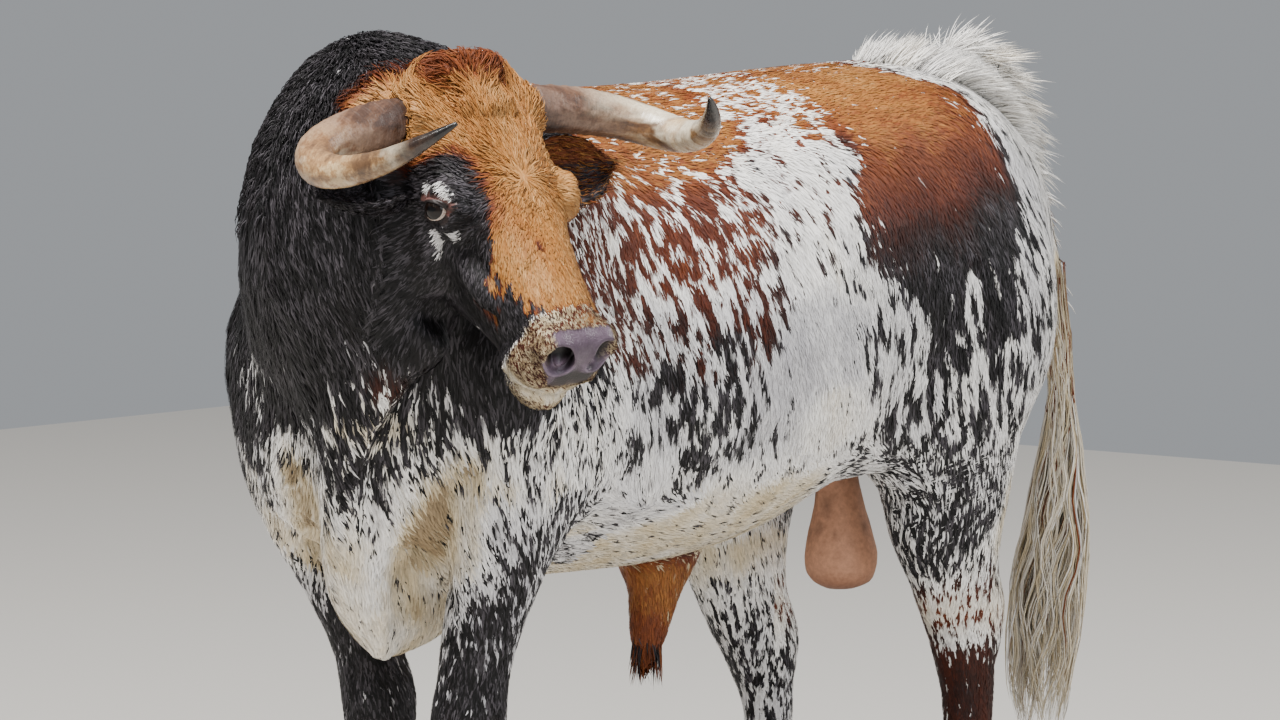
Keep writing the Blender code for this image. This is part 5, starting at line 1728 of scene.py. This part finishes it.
# Places on an unwrap of the hide's own shape: round the head's length, the trunk or each leg.
def unwrapPlace(points, region):
    local = points - shift
    if region == "head":
        u, v, w = toHead(points).T
        turn = np.arctan2(v, w + 0.12) / (2 * np.pi) + 0.5
        return np.stack([turn, np.clip((u + 0.12) / 0.70, 0, 1)], axis=1)
    if region == "legs":
        out = local[:, 0] - middlePlane
        fore = local[:, 1] < 0.0
        middleX = np.where(fore, np.where(out > 0, 0.18, -0.15), np.where(out > 0, 0.19, -0.19))
        middleY = np.where(fore, np.where(out > 0, -0.60, -0.50), np.where(out > 0, 0.58, 0.46))
        turn = np.arctan2(out - middleX, local[:, 1] - middleY) / (2 * np.pi) + 0.5
        column = np.where(fore, 0, 2) + np.where(out > 0, 1, 0)
        return np.stack([(column + 0.03 + turn * 0.94) / 4, np.clip(local[:, 2] / 0.95, 0, 1)], axis=1)
    centre = {"front": array(-0.10, -0.42, 1.02), "back": array(-0.143, 0.10, 1.06)}[region]
    rel = local - centre
    turn = np.arctan2(rel[:, 0], rel[:, 2]) / (2 * np.pi) + 0.5
    height = np.arctan2(rel[:, 1], np.hypot(rel[:, 0], rel[:, 2])) / np.pi + 0.5
    return np.stack([turn, height], axis=1)


# Gives every tuft a small patch round its root's place on the unwrap.
def fillPatchUv(mesh, centres, perTuft, cornerShape):
    layer = mesh.uv_layers.new(name="OFBake")
    count = len(centres)
    loops = np.empty(len(mesh.loops), np.int32)
    mesh.loops.foreach_get("vertex_index", loops)
    spot = 0.0015 + centres * 0.997
    coords = spot[loops // perTuft] + cornerShape[loops % perTuft] * 0.0015
    layer.data.foreach_set("uv", np.clip(coords, 0, 1).astype(np.float32).ravel())


def meshFrom(name, points, faces, smooth=True):
    mesh = bpy.data.meshes.new(name)
    mesh.vertices.add(len(points))
    mesh.vertices.foreach_set("co", points.astype(np.float32).ravel())
    sides = faces.shape[1]
    mesh.loops.add(faces.size)
    mesh.loops.foreach_set("vertex_index", faces.astype(np.int32).ravel())
    mesh.polygons.add(len(faces))
    mesh.polygons.foreach_set("loop_start", np.arange(0, faces.size, sides, dtype=np.int32))
    mesh.update(calc_edges=True)
    mesh.validate()
    if smooth:
        mesh.shade_smooth()
    obj = bpy.data.objects.new(name, mesh)
    bpy.context.scene.collection.objects.link(obj)
    return obj


# Short cattle hair: the coat's own flecks, darker at each root, with a grey sheen painted into the colour of
# black strands.
def hairMaterial():
    material, tree, shader = newMaterial("short cattle hair")
    color, streaks, flow, black = coatColor(tree)
    strand = addNode(tree, "Attribute", attribute_name="strand", give="Vector")
    tip, shade, spare = addNode(tree, "SeparateXYZ", {0: strand}, give="all")
    light = addNode(
        tree,
        "MapRange",
        {
            0: addNode(
                tree,
                "Math",
                {0: addNode(tree, "Math", {0: tip, 1: 0.5}, operation="MULTIPLY"), 1: shade},
                operation="ADD",
            ),
            1: 0.0,
            2: 1.5,
            3: 0.62,
            4: 1.20,
        },
    )
    tinted = addNode(
        tree,
        "Mix",
        {0: 1.0, 6: color, 7: addNode(tree, "CombineColor", {0: light, 1: light, 2: light})},
        2,
        data_type="RGBA",
        blend_type="MULTIPLY",
    )
    # Painted sheen: some black strands, picked by their shade and a clumping noise, are mixed towards grey.
    clump = addNode(tree, "TexNoise", {"Vector": flow, "Scale": 30.0, "Detail": 2.0})
    shine = addNode(
        tree,
        "Math",
        {
            0: addNode(tree, "Math", {0: shade, 1: 0.55}, operation="MULTIPLY"),
            1: addNode(tree, "Math", {0: clump, 1: 0.9}, operation="MULTIPLY"),
        },
        operation="ADD",
    )
    paintedSheen = addNode(tree, "MapRange", {0: shine, 1: 0.66, 2: 1.05, 3: 0.0, 4: 0.55})
    tinted = addNode(
        tree,
        "Mix",
        {
            0: addNode(tree, "Math", {0: paintedSheen, 1: black}, operation="MULTIPLY"),
            6: tinted,
            7: linear("5f5a60"),
        },
        2,
        data_type="RGBA",
    )
    tree.links.new(tinted, shader.inputs["Base Color"])
    shader.inputs["Roughness"].default_value = 0.60
    shader.inputs["IOR"].default_value = 1.55
    shader.inputs["Specular IOR Level"].default_value = 0.22
    return material


hairCoat = hairMaterial()
bladeShare = array(0.0, 0.0, 0.50, 0.50, 1.0)
bladeWidth = array(0.42, -0.42, 0.5, -0.5, 0.0)
bladeFaces = np.array([(0, 1, 3), (0, 3, 2), (2, 3, 4)])
bladeCorners = np.array([(-1, -1), (1, -1), (-1, 0), (1, 0), (0, 1)], float)


# Short overlapping hair over the chosen faces of the hide, each tuft three triangles.
def growBlades(name, region, chosen):
    own = part[hide.faces[:, 0]]
    sizes = coatSizes(hide.middles, own)
    bare = skinBare[hide.faces].mean(axis=1)
    perArea = sizes[:, 3] / (sizes[:, 0] * sizes[:, 1] * 0.8)
    places, normals, index, shares = hide.scatter(perArea, chosen * (bare < 0.35))
    belongs = own[index]
    size = coatSizes(places, belongs)
    count = len(places)
    length = size[:, 0] * random.uniform(0.72, 1.25, count)
    width = size[:, 1] * random.uniform(0.75, 1.2, count)
    lift = size[:, 2] * random.uniform(0.4, 1.5, count)
    lie = hairLie(places, normals, belongs)
    across = np.cross(normals, lie)
    lie = unit(lie + across * random.normal(0, 0.16, count)[:, None])
    middle, middleNormal = hide.settle(places + lie * (length * 0.5)[:, None])
    onward = unit(middle - places)
    end, endNormal = hide.settle(middle + onward * (length * 0.5)[:, None])
    across = unit(np.cross(normals, lie))
    verts = np.empty((count, 5, 3))
    verts[:, 0] = places + across * (width * 0.42)[:, None] - normals * 0.0006
    verts[:, 1] = places - across * (width * 0.42)[:, None] - normals * 0.0006
    raised = middle + middleNormal * (lift * 0.75 + 0.0006)[:, None]
    verts[:, 2] = raised + across * (width * 0.5)[:, None]
    verts[:, 3] = raised - across * (width * 0.5)[:, None]
    verts[:, 4] = end + endNormal * (lift + 0.0004)[:, None]
    faces = (np.arange(count)[:, None, None] * 5 + bladeFaces).reshape(-1, 3)
    coat = meshFrom(name, verts.reshape(-1, 3), faces)
    marks = markHide(places, belongs)
    markObject(coat, np.repeat(marks, 5, axis=0), np.repeat(flowPlace(places), 5, axis=0))
    strand = np.stack(
        [
            np.tile(bladeShare, count),
            np.repeat(random.random(count), 5),
            np.repeat(random.random(count), 5),
        ],
        axis=1,
    )
    setVector(coat, "strand", strand)
    given = np.stack([normals, normals, middleNormal, middleNormal, endNormal], axis=1).reshape(-1, 3)
    coat.data.normals_split_custom_set_from_vertices(unit(given).tolist())
    fillPatchUv(coat.data, unwrapPlace(places, region), 5, bladeCorners)
    coat.data.materials.append(hairCoat)
    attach(coat, "root")
    print("  ", name, len(faces), "triangles")


def growCoat():
    middles = hide.middles
    local = middles - shift
    out = local[:, 0] - middlePlane
    face = (faceShare(middles) > 0.5) | (part[hide.faces[:, 0]] > 0)
    legs = (local[:, 2] < 0.70) & ((local[:, 1] < -0.30) | (local[:, 1] > 0.25)) & ~face
    front = (local[:, 1] < -0.34) & ~face & ~legs
    back = ~face & ~legs & ~front
    growBlades("coatHead", "head", face)
    growBlades("coatFrontLeft", "front", front & (out > 0))
    growBlades("coatFrontRight", "front", front & (out <= 0))
    growBlades("coatFlankLeft", "back", back & (out > 0))
    growBlades("coatFlankRight", "back", back & (out <= 0))
    growBlades("coatLegs", "legs", legs)


growCoat()

print("long hair")


lockThickness = 0.30


# Closed tapering locks through given spines: three-sided, each ending in a point.
def growLocks(name, region, spines, widths, marks):
    count, steps = spines.shape[:2]
    tangents = unit(np.gradient(spines, axis=1))
    guide = unit(random.normal(size=(count, 1, 3)))
    across = unit(np.cross(tangents, guide))
    outward = np.cross(across, tangents)
    share = np.interp(np.linspace(0, 1, steps), [0, 0.25, 0.6, 0.9, 1.0], [0.6, 1.0, 0.85, 0.40, 0.12])
    half = widths[:, None, None] * share[None, :, None] * 0.5
    rings = np.stack(
        [spines + across * half, spines + outward * half * lockThickness * 2, spines - across * half],
        axis=2,
    )
    verts = np.concatenate([rings[:, :-1].reshape(count, -1, 3), spines[:, -1:]], axis=1)
    perLock = (steps - 1) * 3 + 1
    faces = []
    for i in range(steps - 2):
        for j in range(3):
            k = (j + 1) % 3
            a, b, c, d = i * 3 + j, i * 3 + k, (i + 1) * 3 + k, (i + 1) * 3 + j
            faces += [(a, b, c), (a, c, d)]
    last = (steps - 2) * 3
    faces += [(last + j, last + (j + 1) % 3, perLock - 1) for j in range(3)]
    faces.append((2, 1, 0))
    faces = np.array(faces)
    allFaces = (np.arange(count)[:, None, None] * perLock + faces).reshape(-1, 3)
    locks = meshFrom(name, verts.reshape(-1, 3), allFaces)
    roots = spines[:, 0]
    markObject(locks, np.repeat(marks, perLock, axis=0), np.repeat(flowPlace(roots), perLock, axis=0))
    tips = np.append(np.repeat(np.linspace(0, 1, steps)[:-1], 3), 1.0)
    strand = np.stack(
        [np.tile(tips, count), np.repeat(random.random(count), perLock), np.zeros(count * perLock)], axis=1
    )
    setVector(locks, "strand", strand)
    corners = np.column_stack([np.tile([-1, 0, 1], steps - 1), np.repeat(np.linspace(-1, 0.8, steps - 1), 3)])
    corners = np.vstack([corners, [0, 1]])
    fillPatchUv(locks.data, unwrapPlace(roots, region), perLock, corners)
    locks.data.materials.append(hairCoat)
    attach(locks, "root")
    print("  ", name, count, "locks", len(allFaces), "triangles")


# Spines that rise from the hide and bend over along its lie.
def risingSpines(places, normals, lie, length, rise, steps, curl=0.0, sag=0.0):
    t = np.linspace(0, 1, steps)[None, :, None]
    across = np.cross(normals, lie)
    spines = places[:, None] - normals[:, None] * 0.002
    spines = spines + lie[:, None] * length[:, None, None] * t
    bow = np.sin(t * np.pi * 0.62)
    spines = spines + normals[:, None] * (rise[:, None, None] * bow)
    phase = random.uniform(0, 6.3, len(places))[:, None, None]
    spines = spines + across[:, None] * (curl * np.sin(t * 5.5 + phase) * t)
    spines[:, :, 2] -= (sag * t**2)[:, :, 0] * length[:, None]
    return spines


# Draws each spine down to the hide, so that long hair follows its curve.
def settleSpines(spines, rise, loose):
    count, steps = spines.shape[:2]
    shape = np.sin(np.linspace(0, 1, steps) * np.pi * 0.80)
    normals = np.empty_like(spines)
    for k in range(1, steps):
        spots, outward = hide.settle(spines[:, k])
        wanted = spots + outward * (rise * (0.25 + shape[k]))[:, None]
        spines[:, k] = wanted + (spines[:, k] - wanted) * loose
        normals[:, k] = outward
    return spines, normals


# Scattered places over the hide where weight says, about spacing apart.
def areaChoice(weight, spacing):
    own = part[hide.faces[:, 0]]
    places, normals, index, shares = hide.scatter(1 / spacing**2, np.clip(weight, 0, 1))
    return places, normals, own[index]


# Longer hair along the crest of the neck and over the shoulders.
def growCrest():
    local = hide.middles - shift
    face = faceShare(hide.middles)
    up = hide.faceNormals[:, 2]
    weight = smoothStep(local[:, 2], 1.18, 1.36) * (1 - smoothStep(local[:, 1], -0.50, -0.38)) * (1 - face)
    weight = weight * (0.35 + 0.65 * smoothStep(up, 0.0, 0.6)) * (part[hide.faces[:, 0]] == 0)
    places, normals, belongs = areaChoice(weight, 0.0048)
    lie = hairLie(places, normals, belongs)
    length = random.uniform(0.022, 0.038, len(places))
    rise = random.uniform(0.003, 0.010, len(places))
    spines = risingSpines(places, normals, lie, length, rise, 4, 0.004)
    spines, _ = settleSpines(spines, rise, 0.4)
    growLocks(
        "crestHair",
        "front",
        spines,
        random.uniform(0.0016, 0.0028, len(places)),
        markHide(places, belongs),
    )


# Shaggy hair over the poll and forehead, thrown out from the whorl.
def growForelock():
    u, v, w = toHead(hide.middles).T
    face = faceShare(hide.middles)
    weight = (
        (1 - smoothStep(u, 0.30, 0.43))
        * (0.45 + 0.55 * (1 - smoothStep(u, 0.12, 0.30)))
        * (1 - smoothStep(np.abs(v), 0.085, 0.13))
        * smoothStep(w, -0.08, -0.04)
    )
    for side in (1, -1):
        weight = weight * smoothStep(np.linalg.norm(hide.middles - eyeAxes(side)[1], axis=1), 0.045, 0.070)
    weight = weight * (part[hide.faces[:, 0]] == 0) * smoothStep(u, -0.09, -0.05)
    places, normals, belongs = areaChoice(weight, 0.0046)
    lie = hairLie(places, normals, belongs)
    place = toHead(places)
    crown = 1 - smoothStep(place[:, 0], 0.0, 0.10)
    swirl = waves(places, 0.016, 51)[:, None] * 0.8
    lie = unit(lie + np.cross(normals, lie) * swirl)
    lower = smoothStep(place[:, 0], 0.12, 0.34)
    length = random.uniform(0.024, 0.042, len(places)) * (1 + 0.3 * crown - 0.40 * lower)
    rise = random.uniform(0.0015, 0.0045, len(places)) * (1 + 0.7 * crown - 0.55 * lower)
    spines = risingSpines(places, normals, lie, length, rise, 5, 0.004)
    spines, _ = settleSpines(spines, rise, 0.35)
    growLocks(
        "forelock",
        "head",
        spines,
        random.uniform(0.0022, 0.0036, len(places)),
        markHide(places, belongs),
    )


# White bristles along the back of the tail's upper half.
def growBristles():
    local = hide.middles - shift
    out = local[:, 0] - middlePlane
    onTail = (local[:, 1] > 0.60) & (local[:, 2] > 0.98) & (np.abs(out) < 0.085)
    normal = hide.faceNormals
    ridge = smoothStep(normal[:, 2] * 0.75 + normal[:, 1] * 0.65, 0.62, 0.90)
    weight = onTail * ridge * smoothStep(local[:, 1], 0.60, 0.70)
    weight = weight * (0.25 + 0.75 * smoothStep(local[:, 2], 1.10, 1.25))
    places, normals, belongs = areaChoice(weight, 0.0030)
    away = places - shift
    along = np.tile(array(0, 0.55, -0.8), (len(places), 1))
    along = unit(along - normals * (along * normals).sum(axis=1, keepdims=True))
    fade = 1 - 0.45 * (1 - smoothStep(away[:, 2], 1.12, 1.33))
    length = random.uniform(0.034, 0.072, len(places)) * fade
    tilt = random.uniform(0.55, 1.15, len(places))[:, None]
    spread = np.cross(normals, along) * random.normal(0, 0.20, len(places))[:, None]
    heading = unit(normals * tilt + along * 0.55 + spread)
    steps = np.linspace(0, 1, 5)[None, :, None]
    spines = places[:, None] - normals[:, None] * 0.002 + heading[:, None] * length[:, None, None] * steps
    spines = spines + along[:, None] * (length[:, None, None] * 0.45 * steps**2)
    marks = np.tile(array(0.99, 0.5, 0.55), (len(places), 1))
    brown = random.random(len(places)) < 0.35 * (1 - smoothStep(away[:, 2], 1.02, 1.20))
    marks[brown] = (0.04, 0.46, 0.8)
    growLocks("tailBristles", "back", spines, random.uniform(0.0018, 0.0032, len(places)), marks)


# The dark tuft that hangs from the sheath's tip.
def growSheathTuft():
    low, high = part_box("sheath")
    count = 260
    turn = random.uniform(0, 2 * np.pi, count)
    reach = np.sqrt(random.random(count))
    centre = array(midX + 0.001, (-0.104 + 0.149172) + shift[1], 0.482)
    roots = (
        centre
        + np.stack(
            [np.sin(turn) * 0.020 * reach, np.cos(turn) * 0.025 * reach, random.uniform(0, 0.03, count)],
            axis=1,
        )
    )
    length = random.uniform(0.035, 0.092, count)
    t = np.linspace(0, 1, 6)[None, :, None]
    drop = np.stack([np.sin(turn) * 0.10, np.cos(turn) * 0.12, -np.ones(count)], axis=1)
    spines = roots[:, None] + drop[:, None] * length[:, None, None] * t
    sway = np.stack([np.sin(turn * 3), np.cos(turn * 5), 0 * turn], axis=1)
    spines = spines + sway[:, None] * (0.006 * np.sin(t * 4 + turn[:, None, None]) * t)
    dark = np.tile(array(0.03, 0.95, 0.5), (count, 1))
    dark[random.random(count) < 0.4] = (0.03, 0.35, 0.8)
    growLocks("sheathTuft", "back", spines, random.uniform(0.0020, 0.0036, count), dark)


switchLine = [
    (0.050, 0.905, 1.040, 0.030),
    (0.059, 0.904, 0.980, 0.026),
    (0.068, 0.910, 0.920, 0.024),
    (0.078, 0.909, 0.830, 0.022),
    (0.080, 0.905, 0.720, 0.040),
    (0.076, 0.900, 0.620, 0.058),
    (0.068, 0.893, 0.520, 0.070),
    (0.060, 0.885, 0.420, 0.070),
    (0.056, 0.880, 0.320, 0.060),
    (0.055, 0.878, 0.250, 0.045),
    (0.055, 0.878, 0.205, 0.035),
]


# The switch's middle and width at each height.
def switchPlace(level):
    table = np.array(switchLine)[::-1]
    columns = [np.interp(level, table[:, 2], table[:, i]) for i in (0, 1, 3)]
    middle = np.stack([columns[0] - 0.142662, columns[1] + 0.149172, level], axis=-1)
    return middle + shift * array(1, 1, 0), columns[2]


# The tail's long wavy hair, in locks that part towards their tips.
def growSwitch():
    count = 1900
    steps = 13
    start = random.uniform(0.60, 0.90, count)
    start[:650] = random.uniform(0.74, 0.90, 650)
    start[650:1000] = random.uniform(0.88, 1.05, 350)
    length = random.uniform(0.26, 0.52, count)
    finish = np.maximum(start - length, random.uniform(0.205, 0.30, count))
    turn = random.uniform(0, 2 * np.pi, count)
    reach = np.sqrt(random.uniform(0.02, 1.0, count))
    t = np.linspace(0, 1, steps)[None, :]
    level = start[:, None] + (finish - start)[:, None] * t
    middle, wide = switchPlace(level)
    angle = turn[:, None] + 0.5 * t * np.sin(turn * 3)[:, None]
    out = np.stack([np.cos(angle), np.sin(angle), 0 * angle], axis=-1)
    clump = np.floor(turn * 4)
    wave = np.sin(level * 34 + clump[:, None] * 1.9) * 0.011 * smoothStep(t, 0.1, 0.5)
    sway = np.stack([-np.sin(angle), np.cos(angle), 0 * angle], axis=-1) * wave[..., None]
    radius = np.minimum(wide, 0.014 + 0.30 * np.maximum(start[:, None] - level, 0)) * reach[:, None] * 0.95
    stem = np.interp(level, [0.62, 0.74, 0.92, 1.04], [0.0, 0.0150, 0.0215, 0.0290])
    radius = np.maximum(radius, stem * (0.96 + 0.10 * reach[:, None]))
    spines = middle + out * radius[..., None] + sway
    marks = np.tile(array(0.97, 0.35, 0.80), (count, 1))
    marks[:, 2] = random.uniform(0.58, 0.92, count) + 0.10 * smoothStep(start, 0.80, 0.92)
    dark = random.random(count) < 0.03 + 0.10 * smoothStep(start, 0.80, 0.92)
    marks[dark] = (0.04, 0.40, 0.8)
    growLocks("switchHair", "legs", spines, random.uniform(0.0020, 0.0042, count), marks)


# Short hair that hangs over the top of each hoof.
def growFetlocks():
    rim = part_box("hoof_foreleg_left_outer")[1][2]
    local = hide.middles - shift
    weight = (1 - smoothStep(local[:, 2], rim + 0.006, rim + 0.022)) * (part[hide.faces[:, 0]] == 0)
    places, normals, belongs = areaChoice(weight, 0.0040)
    lie = hairLie(places, normals, belongs)
    length = random.uniform(0.014, 0.026, len(places))
    rise = random.uniform(0.002, 0.005, len(places))
    spines = risingSpines(places, normals, lie, length, rise, 4, 0.002)
    spines[:, :, 2] = np.maximum(spines[:, :, 2], 0.004)
    marks = markHide(places, belongs)
    growLocks("fetlockHair", "legs", spines, random.uniform(0.0016, 0.0026, len(places)), marks)


# Longer fringes inside each ear and along its rims.
def growEarHair():
    own = part[hide.faces[:, 0]]
    for number, side in ((1, 1), (2, -1)):
        base, axis = earAxes[number - 1]
        weight = (own == number) * 1.0
        places, normals, belongs = areaChoice(weight, 0.0042)
        inner = smoothStep(
            (normals * unit(downFace * 0.5 + outFace * 0.4 + heading * 0.6)).sum(axis=1), 0.1, 0.5
        )
        keep = random.random(len(places)) < 0.25 + 0.75 * inner
        places, normals, inner = places[keep], normals[keep], inner[keep]
        lie = unit(axis - normals * (normals @ axis)[:, None])
        length = random.uniform(0.012, 0.030, len(places)) * (0.6 + 0.5 * inner)
        rise = random.uniform(0.002, 0.008, len(places))
        spines = risingSpines(places, normals, lie, length, rise, 4, 0.003)
        marks = np.tile(array(0.002, 0.90, 0.4), (len(places), 1))
        if side > 0:
            marks[:, 1] = np.clip(0.10 + 0.55 * random.random(len(places)) ** 2, 0, 1)
        name = "earHairLeft" if side > 0 else "earHairRight"
        growLocks(name, "head", spines, random.uniform(0.0014, 0.0024, len(places)), marks)


growCrest()
growForelock()
growBristles()
growSheathTuft()
growSwitch()
growEarHair()
growFetlocks()
for piece in bpy.context.scene.objects:
    if piece.name == "switchHair":
        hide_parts("tail_switch")

print("camera, floor and light")


def buildStage():
    bpy.ops.mesh.primitive_plane_add(size=14, location=(0, 0, 0))
    floor = bpy.context.object
    floor.name = "studioFloor"
    material, tree, shader = newMaterial("matt studio floor")
    shader.inputs["Base Color"].default_value = linear("b9b6b1")
    shader.inputs["Roughness"].default_value = 0.85
    floor.data.materials.append(material)


def areaLight(name, place, target, size, power, color):
    data = bpy.data.lights.new(name, "AREA")
    data.shape = "DISK"
    data.size = size
    data.energy = power
    data.color = color
    light = bpy.data.objects.new(name, data)
    light.location = place
    aim = Vector(target) - Vector(place)
    light.rotation_euler = aim.to_track_quat("-Z", "Y").to_euler()
    bpy.context.scene.collection.objects.link(light)


# The photo's own view: 40 degrees round from the bull's front, 5 up, from 15 m.
def buildCamera():
    turn, lift, distance = math.radians(40), math.radians(5), 15.0
    right = array(math.cos(turn), math.sin(turn), 0)
    back = array(math.sin(turn) * math.cos(lift), -math.cos(turn) * math.cos(lift), math.sin(lift))
    up = array(-math.sin(turn) * math.sin(lift), math.cos(turn) * math.sin(lift), math.cos(lift))
    centre = right * -0.077 + up * 0.93 + modelMiddle + shift
    data = bpy.data.cameras.new("photoView")
    data.sensor_width = 36
    data.lens = 9100 * 36 / 1280
    data.clip_end = 60
    camera = bpy.data.objects.new("photoView", data)
    camera.location = tuple(centre + back * distance)
    camera.rotation_euler = Vector(tuple(-back)).to_track_quat("-Z", "Y").to_euler()
    bpy.context.scene.collection.objects.link(camera)
    bpy.context.scene.camera = camera


buildStage()
areaLight("skyKey", (0.3, -4.4, 9.3), (0, 0, 0.8), 2.0, 2450, (1.0, 0.975, 0.94))
areaLight("fill", (7.0, -2.5, 4.0), (0, 0, 0.9), 5.0, 260, (0.93, 0.96, 1.0))
areaLight("rim", (4.0, 6.0, 5.0), (0, 0.2, 1.0), 4.0, 330, (1.0, 0.99, 0.97))
world = bpy.data.worlds.new("studio")
world.use_nodes = True
world.node_tree.nodes["Background"].inputs[0].default_value = linear("dfe3e8")
world.node_tree.nodes["Background"].inputs[1].default_value = 0.46
bpy.context.scene.world = world
buildCamera()
